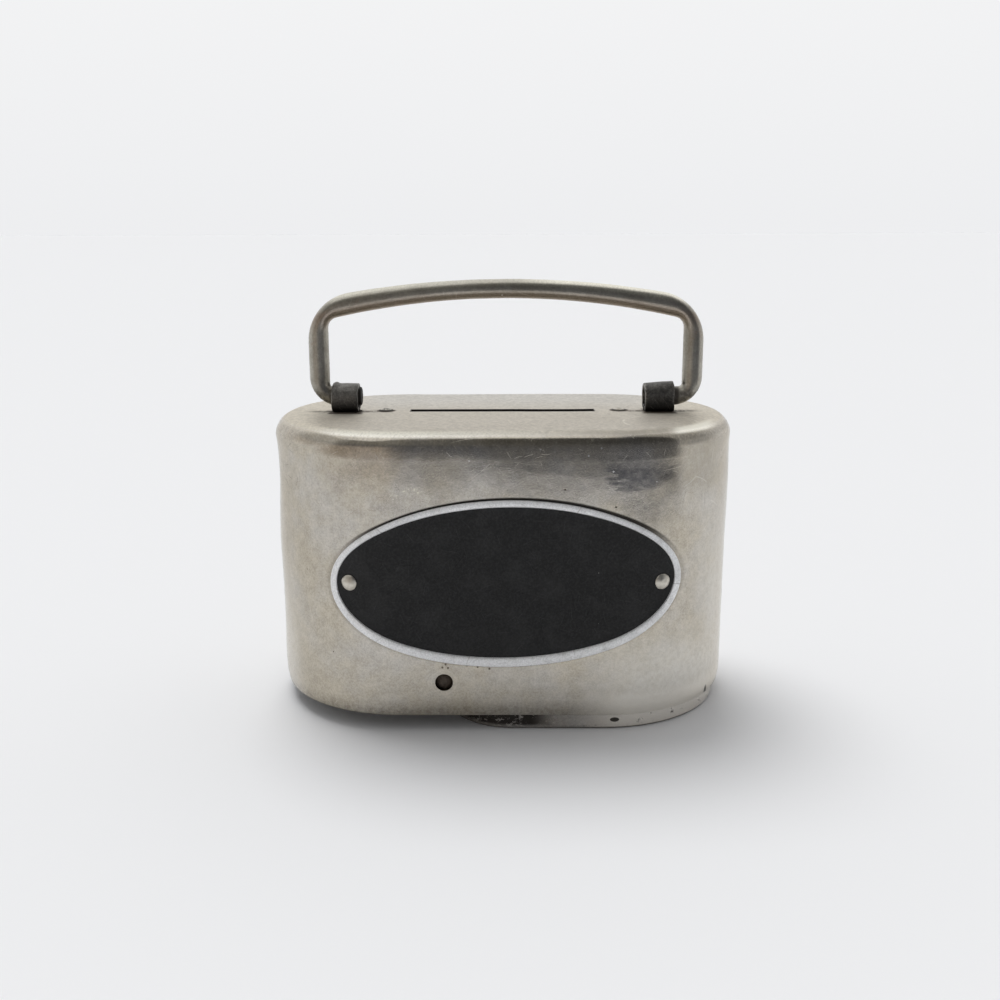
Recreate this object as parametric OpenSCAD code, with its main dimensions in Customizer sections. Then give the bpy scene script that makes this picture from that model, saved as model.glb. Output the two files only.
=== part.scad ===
// Oval sheet-metal coin bank with a carrying handle, a riveted nameplate,
// a gravity guard behind the coin slot and a locking bottom pan that tips
// on a cross pin. Origin: on the resting plane, under the middle of the shell.
// +X is the bank's right, -Y its front, +Z up. Millimetres.

/* [Shell] */
// Length of the shell, end to end
shell_l = 102; // [96:1:120]
// Depth of the shell, front to back
shell_d = 58; // [54:1:64]
// Height of the shell, lower rim to top face
shell_h = 61.8; // [58:0.2:80]
// Thickness of the drawn sheet
sheet_t = 0.9; // [0.7:0.1:1.2]
// Outer radius of the rounded top edge
edge_r = 4; // [3:0.5:6]

/* [Coin slot] */
// Length of the coin slot
slot_l = 41.4; // [36:0.2:43]
// Width of the coin slot
slot_w = 2.6; // [2.2:0.1:3.2]
// From the end of the slot to the guard's rivet
slot_rivet_gap = 5.7; // [5:0.1:6.5]

/* [Coin guard] */
// Thickness of the guard's plate and ears
guard_t = 0.8; // [0.6:0.1:1]
// Diameter of the pin that the flap hangs on
flap_pin_d = 1.5; // [1.2:0.1:2]
// How far behind the slot's middle the flap hangs
flap_back = 5; // [4.6:0.1:5.6]
// Length of the flap below its pin
flap_drop = 10; // [9:0.5:14]
// Thickness of the flap
flap_t = 0.6; // [0.5:0.1:0.8]

/* [Handle] */
// Diameter of the handle's rod
rod_d = 4.2; // [3.4:0.1:4.6]
// Height of the grip's middle line over the barrels' axis
handle_rise = 23.9; // [20:0.1:40]
// Radius of the arched grip
arch_r = 175; // [110:5:300]
// Bend radius of the two upper corners
corner_r = 5.5; // [5:0.5:9]
// Bend radius where the rod turns into the barrels
foot_bend_r = 2.7; // [2.5:0.1:4]
// How far the handle has worked over to the right
handle_shift = 0.8; // [0:0.1:1]
// How far the left rod end stands out of its barrel
rod_end_out = 0.2; // [0:0.1:0.8]

/* [Handle straps] */
// From the middle of the bank to the middle of each barrel
barrel_x = 35.2; // [34:0.1:40]
// Length of each rolled barrel
barrel_l = 6.6; // [5.4:0.1:7.4]
// Outer diameter of each rolled barrel
barrel_d = 6.5; // [6.4:0.1:8]
// Length of each clinched tail under the top
strap_tail = 4.5; // [3:0.5:7]

/* [Nameplate] */
// Width of the oval plate
plate_w = 74.2; // [60:0.2:80]
// Height of the oval plate
plate_h = 36.3; // [26:0.1:40]
// Thickness of the plate at its raised rim
plate_t = 0.8; // [0.6:0.1:1.2]
// Width of the raised rim at its ends and top
plate_rim = 1.4; // [1.2:0.1:2.5]
// Width of the raised rim at its bottom
plate_rim_low = 2; // [1.2:0.1:2.5]
// How far the field lies below the rim
plate_relief = 0.25; // [0.15:0.05:0.4]
// Height of the plate's middle over the shell's rim
plate_up = 29.8; // [28:0.1:38]
// How far right of the middle the plate was riveted
plate_shift = 0.7; // [-1:0.1:1]
// How far the plate was riveted out of level, in degrees
plate_tilt = 1.2; // [-3:0.1:3]
// From the plate's end to its rivet
plate_rivet_in = 4.4; // [3:0.1:6]

/* [Bottom pan] */
// How far the foot of the pan stands below the shell's rim
foot_drop = 3.5; // [2:0.1:5]
// Height of the pan's skirt over the resting plane
skirt_h = 10; // [9:0.2:12]
// How far the pan's tail is set up inside the shell
tail_up = 1; // [0.6:0.1:1.6]
// From the middle of the bank to the left edge of the foot
foot_left = 12; // [8:0.5:14]
// Corner radius of the foot's left edge
foot_corner_r = 14; // [8:0.5:18]
// Clearance between the pan and the shell
pan_gap = 0.5; // [0.4:0.05:0.8]

/* [Cross pin] */
// Diameter of the cross pin
pin_d = 3.8; // [3:0.1:4.4]
// From the middle of the bank to the cross pin
pin_left = 12.5; // [10:0.1:16]
// Height of the cross pin over the shell's rim
pin_up = 7.85; // [7:0.05:9]
// How far the pin's ends lie inside the shell's face
pin_sunk = 0.45; // [0.2:0.05:0.8]

/* [Stop strap] */
// Width of the stop strap in the left end
stop_w = 8; // [6:0.5:10]
// Thickness of the stop strap
stop_t = 1; // [0.8:0.1:1.4]
// Height of the lower end rivet over the shell's rim
end_rivet_low = 7.83; // [7:0.1:9]
// From the stop strap's bend down to the upper end rivet
end_rivet_drop = 1.8; // [1.6:0.1:8]
// How far the pan opens, in degrees
open_deg = 40; // [38:1:46]

/* [Lock] */
// From the middle of the bank to the lock plug
plug_x = 24; // [22:0.5:26]
// Diameter of the lock plug
plug_d = 8; // [7:0.1:9]
// Width of the lock case
lock_w = 22; // [20:0.5:28]
// Thickness of the bolt
bolt_t = 1.5; // [1.2:0.1:2]
// Width of the bolt's tongue
bolt_w = 6; // [5:0.5:8]
// How far the bolt travels
bolt_travel = 3; // [2.4:0.1:3.4]
// How far the keeper's shelf reaches in from the end wall
keeper_reach = 4.5; // [4:0.1:6]
// Width of the keeper
keeper_w = 16; // [12:0.5:18]
// Thickness of the keeper
keeper_t = 1; // [0.8:0.1:1.4]

/* [Rivets] */
// Shank diameter of the small rivets
rivet_d = 1.9; // [1.6:0.1:2.2]
// Head diameter of the small rivets
rivet_head_d = 2.9; // [2.6:0.1:3.6]
// Height of a small rivet's domed head
rivet_head_h = 0.55; // [0.4:0.05:0.8]
// Shank diameter of the four lock rivets
lock_rivet_d = 2; // [1.6:0.1:2.4]

/* [Clearances] */
// Running clearance all round a pin in its bore
run_gap = 0.05; // [0.03:0.01:0.08]
// Free space between pieces that pass each other
free_gap = 0.3; // [0.2:0.05:0.4]

/* [Hidden] */
$fn = 64;
eps = 0.01;
big = 4 * shell_l;

// Heights over the resting plane
rim_z = foot_drop;
top_z = rim_z + shell_h;
under_z = top_z - sheet_t;
pin_z = rim_z + pin_up;

// Plan of the shell: straight sides with round ends
end_r = shell_d / 2;
end_x = (shell_l - shell_d) / 2;
inner_r = end_r - sheet_t;
inner_end = end_x + inner_r;

// Coin guard
guard_rivet_x = slot_l / 2 + slot_rivet_gap;
guard_half = guard_rivet_x + 3;
guard_z = under_z - guard_t;
slot_relief = 1;
roll_d = flap_pin_d + 2 * run_gap + 2 * flap_t;
flap_w = slot_l + 2.6;
flap_z = guard_z - roll_d / 2 - free_gap - 0.1;
flap_y = flap_back;
ear_x = flap_w / 2 + free_gap;
ear_r = flap_pin_d / 2 + 1.5;
flap_pin_head = 0.5;

// Handle and its straps
bore_d = rod_d + 2 * run_gap;
strap_t = (barrel_d - bore_d) / 2;
barrel_lift = 0.05;
axis_z = top_z + barrel_d / 2 + barrel_lift;
leg_x = barrel_x + barrel_l / 2 + handle_shift + run_gap + foot_bend_r;
rod_tip = barrel_x - barrel_l / 2 + handle_shift - rod_end_out;
strap_slit = 0.2;
arch_z = axis_z + handle_rise - arch_r;
corner_x = leg_x - corner_r;
corner_z = arch_z + sqrt(pow(arch_r - corner_r, 2) - pow(corner_x, 2));
corner_deg = asin(corner_x / (arch_r - corner_r));
grip_swell = 0.04;
grip_lap = 0.05;

// Rivets: flat tails, and the sag of a round wall under them
rivet_tail_h = 0.5;
seat_sag = pow(rivet_head_d / 2, 2) / (2 * (inner_r - stop_t)) + 0.01;

// Nameplate, wrapped round the shell's front
plate_z = rim_z + plate_up;
plate_rivet_x = plate_w / 2 - plate_rivet_in;
oval_n = 96;

// Bottom pan
floor_t = sheet_t;
pan_r = inner_r - pan_gap;
tail_z = rim_z + tail_up;
tail_reach = inner_end - pan_gap - pin_left;
tail_cut = sqrt(pow(tail_reach, 2) + pow(pin_z - tail_z, 2)) - tail_reach;
ear_d = pin_d + 3.6;
notch_side = 0.75;
notch_in = 2.6;
notch_x = inner_end - stop_t - notch_in;

// Stop strap: its bent end meets the edge of the pan's notch when open
stop_px = notch_x - pin_left;
stop_pz = pin_z - tail_z - floor_t;
stop_z = pin_z + stop_px * sin(open_deg) - stop_pz * cos(open_deg) + free_gap;
stop_bite = 1.5;
stop_reach = inner_end - pin_left - stop_px * cos(open_deg) - stop_pz * sin(open_deg) + stop_bite;
end_rivet_z = [rim_z + end_rivet_low, stop_z - end_rivet_drop];
stop_low = end_rivet_z[0] - 2.6;
end_rivet_head_d = 2.6;
end_rivet_tail_h = 0.7;

// Keeper and lock
keeper_z = skirt_h + free_gap;
keeper_h = 6.7;
bolt_z = keeper_z + keeper_t + free_gap;
bolt_back = 1;
bolt_tip = inner_end - keeper_reach - bolt_back;
lock_gap = 2.6;
case_x1 = inner_end - keeper_reach - lock_gap;
case_x0 = plug_x - 9;
case_z = floor_t;
case_corner = 2;
lid_z = bolt_z + bolt_t + 1.8;
lid_t = 0.9;
tube_wall = 1.3;
tube_top = bolt_z - free_gap - 1.3;
plug_sunk = 0.35;
plug_flange_d = plug_d + 2 * tube_wall;
plug_bore_d = plug_d + 2 * run_gap;
crank = bolt_travel / (2 * sin(45));
crank_pin_d = 2;
crank_gap = 0.1;
bolt_tail_x = case_x0 - bolt_travel - 0.4;
bolt_block_w = 11;
bolt_block_x0 = plug_x - 7;
bolt_block_x1 = plug_x + 5;
lock_rivet_in = 2.6;
lock_rivet_head_d = 3.6;
lock_rivet_head_h = 0.6;
spring_t = 0.35;
spring_w = 4;
spring_x = plug_x + 7;

// Straight-sided plan with round ends; the two ends may differ in place
module oval_plan(r, left, right) {
    translate([-left, -r]) square([left + right, 2 * r]);
    translate([-left, 0]) circle(r);
    translate([right, 0]) circle(r);
}

// Half section of a drawn cup: straight side and rounded upper edge
module cup_half(r, h, edge) {
    square([r, h - edge]);
    square([r - edge, h]);
    translate([r - edge, h - edge]) circle(edge);
}

// Solid drawn body on the oval plan, open side at z = 0
module cup_body(r, h, edge) {
    rotate([90, 0, 90]) translate([0, 0, -end_x]) linear_extrude(2 * end_x) {
        intersection() {
            cup_half(r, h, edge);
            square([r, h]);
        }
        mirror([1, 0]) intersection() {
            cup_half(r, h, edge);
            square([r, h]);
        }
    }
    for (side = [-1, 1])
        translate([side * end_x, 0, 0]) rotate([0, 0, -90 * side]) rotate_extrude(angle = 180)
            intersection() {
                cup_half(r, h, edge);
                square([r, h]);
            }
}

// Domed head standing on z = 0
module dome(d, h) {
    ball_r = (d * d / 4 + h * h) / (2 * h);
    intersection() {
        translate([0, 0, h - ball_r]) sphere(ball_r);
        cylinder(d = 2 * d, h = 2 * h);
    }
}

// Rivet along Z: head above z = 0, shank of the given grip below, flat tail under it
module rivet(grip, tail_h, head_d = rivet_head_d, head_h = rivet_head_h) {
    dome(head_d, head_h);
    translate([0, 0, -grip - tail_h / 2]) cylinder(d = rivet_d, h = grip + tail_h / 2 + eps);
    translate([0, 0, -grip - tail_h]) cylinder(d = head_d, h = tail_h);
}

// Places along the nameplate's rivets, with Z pointing out of the shell
module at_plate_rivets(out) {
    for (side = [-1, 1]) {
        turn = asin((side * plate_shift + plate_rivet_x - end_x) / end_r);
        translate([side * end_x, 0, plate_z]) rotate([0, 0, side * turn])
            translate([0, -end_r - out, 0]) rotate([90, 0, 0]) children();
    }
}

module at_guard_rivets() {
    for (side = [-1, 1]) translate([side * guard_rivet_x, 0, top_z]) children();
}

module at_end_rivets() {
    for (z = end_rivet_z)
        translate([-shell_l / 2, 0, z]) rotate([0, -90, 0]) children();
}

module at_lock_rivets() {
    for (x = [case_x0 + lock_rivet_in, case_x1 - lock_rivet_in], side = [-1, 1])
        translate([x, side * (lock_w / 2 - lock_rivet_in), 0]) children();
}

// Cross bar along Y through the pin's axis
module cross_bar(d, l) {
    translate([-pin_left, l / 2, pin_z]) rotate([90, 0, 0]) cylinder(d = d, h = l);
}

module case_shell() {
    color([0.66, 0.63, 0.58]) difference() {
        translate([0, 0, rim_z]) cup_body(end_r, shell_h, edge_r);
        translate([0, 0, rim_z - eps]) cup_body(inner_r, shell_h - sheet_t + eps, edge_r - sheet_t);
        translate([-slot_l / 2, -slot_w / 2, under_z - 1]) cube([slot_l, slot_w, sheet_t + 2]);
        at_guard_rivets() translate([0, 0, -sheet_t - 1]) cylinder(d = rivet_d, h = sheet_t + 2);
        at_plate_rivets(0) translate([0, 0, -sheet_t - 1]) cylinder(d = rivet_d, h = sheet_t + 2);
        at_end_rivets() translate([0, 0, -sheet_t - 1]) cylinder(d = rivet_d, h = sheet_t + 2);
        for (side = [-1, 1])
            translate([side * barrel_x - barrel_l / 2, -strap_t, under_z - 1])
                cube([barrel_l, 2 * strap_t, sheet_t + 2]);
        cross_bar(pin_d, 2 * shell_d);
    }
}

module slot_guard() {
    color([0.55, 0.54, 0.52]) difference() {
        union() {
            translate([-guard_half, -flap_y, guard_z]) cube([2 * guard_half, 2 * flap_y + ear_r, guard_t]);
            for (side = [-1, 1]) translate([side * ear_x, flap_y, 0]) rotate([90, 0, 90 * side])
                linear_extrude(guard_t) {
                    translate([0, flap_z]) circle(ear_r);
                    translate([-ear_r, flap_z]) square([2 * ear_r, guard_z + guard_t - flap_z]);
                }
        }
        translate([-(slot_l + slot_relief) / 2, -(slot_w + slot_relief) / 2, guard_z - 1])
            cube([slot_l + slot_relief, slot_w + slot_relief, guard_t + 2]);
        at_guard_rivets() translate([0, 0, -sheet_t - guard_t - 1]) cylinder(d = rivet_d, h = guard_t + 2);
        translate([-ear_x - 2, flap_y, flap_z]) rotate([0, 90, 0])
            cylinder(d = flap_pin_d, h = 2 * ear_x + 4);
    }
}

module guard_rivets() {
    color([0.6, 0.57, 0.52]) at_guard_rivets() rivet(sheet_t + guard_t, rivet_tail_h);
}

module flap_pin() {
    half = ear_x + guard_t;
    color([0.5, 0.5, 0.5]) translate([-half, flap_y, flap_z]) rotate([0, 90, 0]) {
        cylinder(d = flap_pin_d, h = 2 * half);
        for (z = [-flap_pin_head, 2 * half]) translate([0, 0, z]) cylinder(d = flap_pin_d + 1, h = flap_pin_head);
    }
}

module guard_flap() {
    color([0.52, 0.52, 0.5]) translate([-flap_w / 2, flap_y, flap_z]) rotate([90, 0, 90])
        linear_extrude(flap_w) difference() {
            union() {
                circle(d = roll_d);
                translate([-roll_d / 2, -flap_drop]) square([flap_t, flap_drop]);
            }
            circle(d = flap_pin_d + 2 * run_gap);
        }
}

// Strap rolled round the rod, its two ends pushed through the top and clinched
module handle_strap(x) {
    color([0.16, 0.15, 0.14]) translate([x - barrel_l / 2, 0, 0]) rotate([90, 0, 90])
        linear_extrude(barrel_l) difference() {
            union() {
                translate([0, axis_z]) circle(d = barrel_d);
                translate([-strap_t, under_z - strap_t]) square([2 * strap_t, axis_z - under_z + strap_t]);
                translate([-strap_t - strap_tail, under_z - strap_t])
                    square([2 * (strap_t + strap_tail), strap_t]);
            }
            translate([0, axis_z]) circle(d = bore_d);
            translate([-strap_slit / 2, under_z - 2 * strap_t])
                square([strap_slit, axis_z - barrel_d / 2 - under_z + 2 * strap_t]);
        }
}

module handle_strap_left() { handle_strap(-barrel_x); }

module handle_strap_right() { handle_strap(barrel_x); }

// Bend of the rod in the XZ plane, about the origin
module rod_bend(r, from, turn, d = rod_d) {
    rotate([90, 0, 0]) rotate([0, 0, from]) rotate_extrude(angle = turn) translate([r, 0]) circle(d = d);
}

module handle() {
    color([0.52, 0.49, 0.45]) translate([handle_shift, 0, 0]) {
        translate([0, 0, arch_z])
            rod_bend(arch_r, 90 - corner_deg - grip_lap, 2 * (corner_deg + grip_lap), rod_d + grip_swell);
        for (side = [0, 1]) mirror([side, 0, 0]) {
            translate([corner_x, 0, corner_z]) rod_bend(corner_r, 0, 90 - corner_deg);
            translate([leg_x, 0, axis_z + foot_bend_r])
                cylinder(d = rod_d, h = corner_z - axis_z - foot_bend_r);
            translate([leg_x - foot_bend_r, 0, axis_z + foot_bend_r]) rod_bend(foot_bend_r, -90, 90);
            translate([rod_tip, 0, axis_z]) rotate([0, 90, 0])
                cylinder(d = rod_d, h = leg_x - foot_bend_r - rod_tip);
        }
    }
}

// Ellipse of the plate's front view, pushed back through the shell's front
module oval_cut(a, b, up = 0) {
    translate([plate_shift, 0, plate_z]) rotate([90, 0, 0]) rotate([0, 0, plate_tilt]) linear_extrude(big)
        polygon([for (i = [0 : oval_n - 1]) [a * cos(360 * i / oval_n), up + b * sin(360 * i / oval_n)]]);
}

module front_layer(from, to) {
    translate([0, 0, plate_z - plate_h]) linear_extrude(2 * plate_h) difference() {
        oval_plan(end_r + to, end_x, end_x);
        oval_plan(end_r + from, end_x, end_x);
    }
}

module nameplate() {
    color([0.13, 0.13, 0.14]) difference() {
        intersection() {
            front_layer(0, plate_t);
            oval_cut(plate_w / 2, plate_h / 2);
        }
        intersection() {
            front_layer(plate_t - plate_relief, plate_t + 1);
            oval_cut(plate_w / 2 - plate_rim, (plate_h - plate_rim - plate_rim_low) / 2,
                     (plate_rim_low - plate_rim) / 2);
        }
        at_plate_rivets(0) translate([0, 0, -1]) cylinder(d = rivet_d, h = plate_t + 2);
    }
}

module nameplate_rivets() {
    field = plate_t - plate_relief;
    color([0.68, 0.66, 0.6]) at_plate_rivets(field)
        rivet(sheet_t + field + seat_sag, rivet_tail_h, rivet_head_d, rivet_head_h + 0.15);
}

module hinge_pin() {
    dome_h = 0.6;
    half = end_r - pin_sunk;
    color([0.4, 0.38, 0.36]) {
        cross_bar(pin_d, 2 * (half - dome_h));
        for (side = [-1, 1]) translate([-pin_left, side * (half - dome_h), pin_z])
            rotate([-90 * side, 0, 0]) dome(pin_d, dome_h);
    }
}

module stop_strap() {
    color([0.5, 0.49, 0.47]) intersection() {
        translate([-end_x, 0, 0]) difference() {
            translate([0, 0, stop_low]) cylinder(r = inner_r, h = stop_z + stop_t - stop_low);
            translate([0, 0, stop_low - 1]) cylinder(r = inner_r - stop_t, h = stop_z - stop_low + 1);
            translate([0, 0, stop_z - 1]) cylinder(r = inner_r - stop_reach, h = stop_t + 2);
            for (z = end_rivet_z)
                translate([0, 0, z]) rotate([0, -90, 0]) cylinder(d = rivet_d, h = shell_l);
        }
        translate([-shell_l, -stop_w / 2, 0]) cube([shell_l - end_x, stop_w, top_z]);
    }
}

module end_rivets() {
    color([0.55, 0.52, 0.48]) at_end_rivets()
        rivet(sheet_t + stop_t + seat_sag, end_rivet_tail_h, end_rivet_head_d);
}

module keeper() {
    color([0.5, 0.49, 0.47]) intersection() {
        translate([end_x, 0, keeper_z]) difference() {
            cylinder(r = inner_r, h = keeper_h);
            translate([0, 0, -1]) cylinder(r = inner_r - keeper_reach, h = keeper_h + 2);
            translate([0, 0, keeper_t]) cylinder(r = inner_r - keeper_t, h = keeper_h);
        }
        translate([end_x, -keeper_w / 2, 0]) cube([shell_l, keeper_w, top_z]);
    }
}

// Plan of the foot, drawn in by the given inset
module foot_plan(inset) {
    corner_y = pan_r - foot_corner_r;
    intersection() {
        oval_plan(pan_r - inset, end_x, end_x);
        union() {
            translate([inset - foot_left, -corner_y]) square([shell_l, 2 * corner_y]);
            translate([foot_corner_r - foot_left, inset - pan_r]) square([shell_l, 2 * (pan_r - inset)]);
            for (side = [-1, 1]) translate([foot_corner_r - foot_left, side * corner_y])
                circle(foot_corner_r - inset);
        }
    }
}

module pan_plan(inset) {
    oval_plan(pan_r - inset, end_x - tail_cut, end_x);
}

module bottom_pan() {
    color([0.58, 0.55, 0.5]) difference() {
        union() {
            translate([0, 0, tail_z]) linear_extrude(skirt_h - tail_z) pan_plan(0);
            linear_extrude(skirt_h) foot_plan(0);
            for (side = [-1, 1]) translate([-pin_left, side * (pan_r - sheet_t / 2), 0])
                rotate([90, 0, 0]) translate([0, 0, -sheet_t / 2]) linear_extrude(sheet_t) {
                    translate([0, pin_z]) circle(d = ear_d);
                    translate([-ear_d / 2, skirt_h - 1]) square([ear_d, pin_z - skirt_h + 1]);
                }
        }
        translate([0, 0, tail_z + floor_t]) linear_extrude(skirt_h - tail_z - floor_t + 1) pan_plan(sheet_t);
        translate([0, 0, floor_t]) linear_extrude(skirt_h) foot_plan(sheet_t);
        translate([-shell_l, -stop_w / 2 - notch_side, 0])
            cube([shell_l - notch_x, stop_w + 2 * notch_side, skirt_h + 1]);
        cross_bar(pin_d + 2 * run_gap, 2 * shell_d);
        translate([plug_x, 0, -1]) cylinder(d = plug_bore_d, h = floor_t + 2);
        at_lock_rivets() {
            translate([0, 0, -1]) cylinder(d = lock_rivet_d, h = floor_t + 2);
            translate([0, 0, -eps]) cylinder(d1 = lock_rivet_d + 1.4 + 2 * eps, d2 = lock_rivet_d, h = 0.7 + eps);
        }
    }
}

module lock_outline(inset) {
    r = case_corner - inset;
    translate([case_x0 + inset, -lock_w / 2 + case_corner])
        square([case_x1 - case_x0 - 2 * inset, lock_w - 2 * case_corner]);
    translate([case_x0 + case_corner, -lock_w / 2 + inset])
        square([case_x1 - case_x0 - 2 * case_corner, lock_w - 2 * inset]);
    for (x = [case_x0 + case_corner, case_x1 - case_corner], side = [-1, 1])
        translate([x, side * (lock_w / 2 - case_corner)]) circle(r);
}

module lock_case() {
    color([0.45, 0.44, 0.42]) difference() {
        union() {
            difference() {
                translate([0, 0, case_z]) linear_extrude(lid_z - case_z) lock_outline(0);
                translate([0, 0, case_z + sheet_t]) linear_extrude(lid_z) lock_outline(sheet_t);
            }
            translate([plug_x, 0, case_z]) cylinder(d = plug_flange_d, h = tube_top - case_z);
        }
        translate([plug_x, 0, case_z - 1]) cylinder(d = plug_bore_d, h = tube_top - case_z + 2);
        translate([case_x0 - 1, -bolt_w / 2 - free_gap / 2, bolt_z - free_gap / 2])
            cube([case_x1 - case_x0 + 2, bolt_w + free_gap, bolt_t + free_gap]);
        at_lock_rivets() translate([0, 0, case_z - 1]) cylinder(d = lock_rivet_d, h = sheet_t + 2);
    }
}

module lock_cover() {
    color([0.47, 0.46, 0.44]) translate([0, 0, lid_z]) difference() {
        linear_extrude(lid_t) lock_outline(0);
        at_lock_rivets() translate([0, 0, -1]) cylinder(d = lock_rivet_d, h = lid_t + 2);
    }
}

module lock_rivets() {
    color([0.55, 0.52, 0.46]) at_lock_rivets() {
        cylinder(d1 = lock_rivet_d + 1.4, d2 = lock_rivet_d, h = 0.7);
        cylinder(d = lock_rivet_d, h = lid_z + lid_t + eps);
        translate([0, 0, lid_z + lid_t]) dome(lock_rivet_head_d, lock_rivet_head_h);
    }
}

module lock_plug() {
    key_w = 1.3;
    key_l = 5.6;
    key_deep = 7;
    color([0.62, 0.52, 0.3]) translate([plug_x, 0, 0]) difference() {
        union() {
            translate([0, 0, plug_sunk]) cylinder(d = plug_d, h = tube_top - plug_sunk + 0.5);
            translate([0, 0, tube_top + 0.15])
                cylinder(d = plug_flange_d, h = bolt_z - free_gap - tube_top - 0.15);
            translate([-crank * cos(45), -crank * sin(45), bolt_z - free_gap - eps])
                cylinder(d = crank_pin_d, h = bolt_t + free_gap + eps);
        }
        translate([-key_w / 2, -key_l / 2, -1]) cube([key_w, key_l, plug_sunk + key_deep + 1]);
    }
}

module lock_bolt() {
    slot_y1 = -crank * cos(45) + crank_pin_d / 2 + crank_gap + 0.2;
    slot_y0 = -crank - crank_pin_d / 2 - crank_gap - 0.2;
    color([0.5, 0.5, 0.48]) translate([0, 0, bolt_z]) linear_extrude(bolt_t) difference() {
        union() {
            translate([bolt_tail_x, -bolt_w / 2]) square([bolt_tip - bolt_tail_x, bolt_w]);
            translate([bolt_block_x0, -bolt_block_w / 2])
                square([bolt_block_x1 - bolt_block_x0, bolt_block_w]);
        }
        translate([plug_x - crank * cos(45) - crank_pin_d / 2 - crank_gap, slot_y0])
            square([crank_pin_d + 2 * crank_gap, slot_y1 - slot_y0]);
    }
}

// Bent leaf under the cover that keeps the bolt from rattling
module bolt_spring() {
    low = bolt_z + bolt_t + 0.15;
    color([0.35, 0.37, 0.42]) translate([0, spring_w / 2, 0]) rotate([90, 0, 0]) linear_extrude(spring_w)
        polygon([[spring_x, lid_z], [spring_x, lid_z - spring_t], [spring_x + 2.5, lid_z - spring_t],
                 [spring_x + 6, low], [spring_x + 7.5, low + 0.3], [spring_x + 7.3, low + 0.3 + spring_t],
                 [spring_x + 6, low + spring_t], [spring_x + 3, lid_z]]);
}

case_shell();
slot_guard();
guard_rivets();
flap_pin();
guard_flap();
handle_strap_left();
handle_strap_right();
handle();
nameplate();
nameplate_rivets();
hinge_pin();
stop_strap();
end_rivets();
keeper();
bottom_pan();
lock_case();
lock_cover();
lock_rivets();
lock_plug();
lock_bolt();
bolt_spring();
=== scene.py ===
import math

import bmesh
import bpy
from mathutils import Matrix, Vector, noise


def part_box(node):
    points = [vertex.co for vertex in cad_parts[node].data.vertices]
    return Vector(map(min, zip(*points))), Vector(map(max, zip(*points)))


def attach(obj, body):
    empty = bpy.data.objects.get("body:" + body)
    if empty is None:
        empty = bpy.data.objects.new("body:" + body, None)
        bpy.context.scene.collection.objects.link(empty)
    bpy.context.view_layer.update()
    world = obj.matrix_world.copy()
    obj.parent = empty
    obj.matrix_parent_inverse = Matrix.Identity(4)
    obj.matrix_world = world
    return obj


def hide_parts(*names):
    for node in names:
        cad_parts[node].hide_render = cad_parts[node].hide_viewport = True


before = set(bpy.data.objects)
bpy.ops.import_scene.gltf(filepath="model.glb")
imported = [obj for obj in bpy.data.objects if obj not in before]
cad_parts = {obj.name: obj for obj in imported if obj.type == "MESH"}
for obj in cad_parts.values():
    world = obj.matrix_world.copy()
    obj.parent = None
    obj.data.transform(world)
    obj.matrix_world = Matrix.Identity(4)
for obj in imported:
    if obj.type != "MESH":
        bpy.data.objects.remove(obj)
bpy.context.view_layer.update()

mm = 0.001  # pieces are worked out in millimetres and built in metres
print("frame loaded,", len(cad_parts), "nodes")


def cornersOf(node):
    low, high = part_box(node)
    return low / mm, high / mm


# Shader maths: a Wire is one socket of a node tree

class Wire:
    def __init__(self, tree, socket=None):
        self.tree = tree
        self.socket = socket

    def node(self, kind, settings={}, sockets={}, output=0):
        made = self.tree.nodes.new(kind)
        for key, value in settings.items():
            if key == "stops":  # a ramp's stops: (place, colour)
                ramp = made.color_ramp
                while len(ramp.elements) < len(value):
                    ramp.elements.new(0.5)
                for stop, (place, colour) in zip(ramp.elements, value):
                    stop.position = place
                    stop.color = (*colour, 1)
            else:
                setattr(made, key, value)
        for key, value in sockets.items():
            if isinstance(value, Wire):
                self.tree.links.new(value.socket, made.inputs[key])
            else:
                made.inputs[key].default_value = value
        return Wire(self.tree, made.outputs[output] if made.outputs else None)

    def maths(self, operation, first, second=0.0):
        return self.node("ShaderNodeMath", {"operation": operation}, {0: first, 1: second})

    def __add__(self, other):
        return self.maths("ADD", self, other)

    def __sub__(self, other):
        return self.maths("SUBTRACT", self, other)

    def __rsub__(self, other):
        return self.maths("SUBTRACT", other, self)

    def __mul__(self, other):
        return self.maths("MULTIPLY", self, other)

    def __truediv__(self, other):
        return self.maths("DIVIDE", self, other)

    def __pow__(self, other):
        return self.maths("POWER", self, other)

    def __abs__(self):
        return self.maths("ABSOLUTE", self)

    __radd__ = __add__
    __rmul__ = __mul__

    def least(self, other):
        return self.maths("MINIMUM", self, other)

    def most(self, other):
        return self.maths("MAXIMUM", self, other)

    def fade(self, start, end):  # 0 at start, 1 at end, smooth between
        return self.node("ShaderNodeMapRange", {"interpolation_type": "SMOOTHSTEP"},
                         {0: self, 1: start, 2: end, 3: 0.0, 4: 1.0})

    def colour(self, value):  # one plain colour to start from
        made = self.node("ShaderNodeRGB")
        made.socket.default_value = (*value, 1)
        return made

    def axis(self, name):
        return self.node("ShaderNodeSeparateXYZ", {}, {0: self}, "XYZ".index(name))

    def tint(self, mask, colour):  # this colour turning into another where the mask is 1
        return self.node("ShaderNodeMix", {"data_type": "RGBA"},
                         {0: mask, 6: self, 7: colour if isinstance(colour, Wire) else (*colour, 1)}, 2)

    def shade(self, amount):  # this colour times a grey value
        return self.node("ShaderNodeVectorMath", {"operation": "SCALE"}, {0: self, "Scale": amount})


def millimetres(tree):  # places on the piece in the shared frame, in millimetres
    place = Wire(tree).node("ShaderNodeTexCoord", {}, {}, "Object")
    return place.node("ShaderNodeVectorMath", {"operation": "SCALE"}, {0: place, "Scale": 1 / mm})


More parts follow.
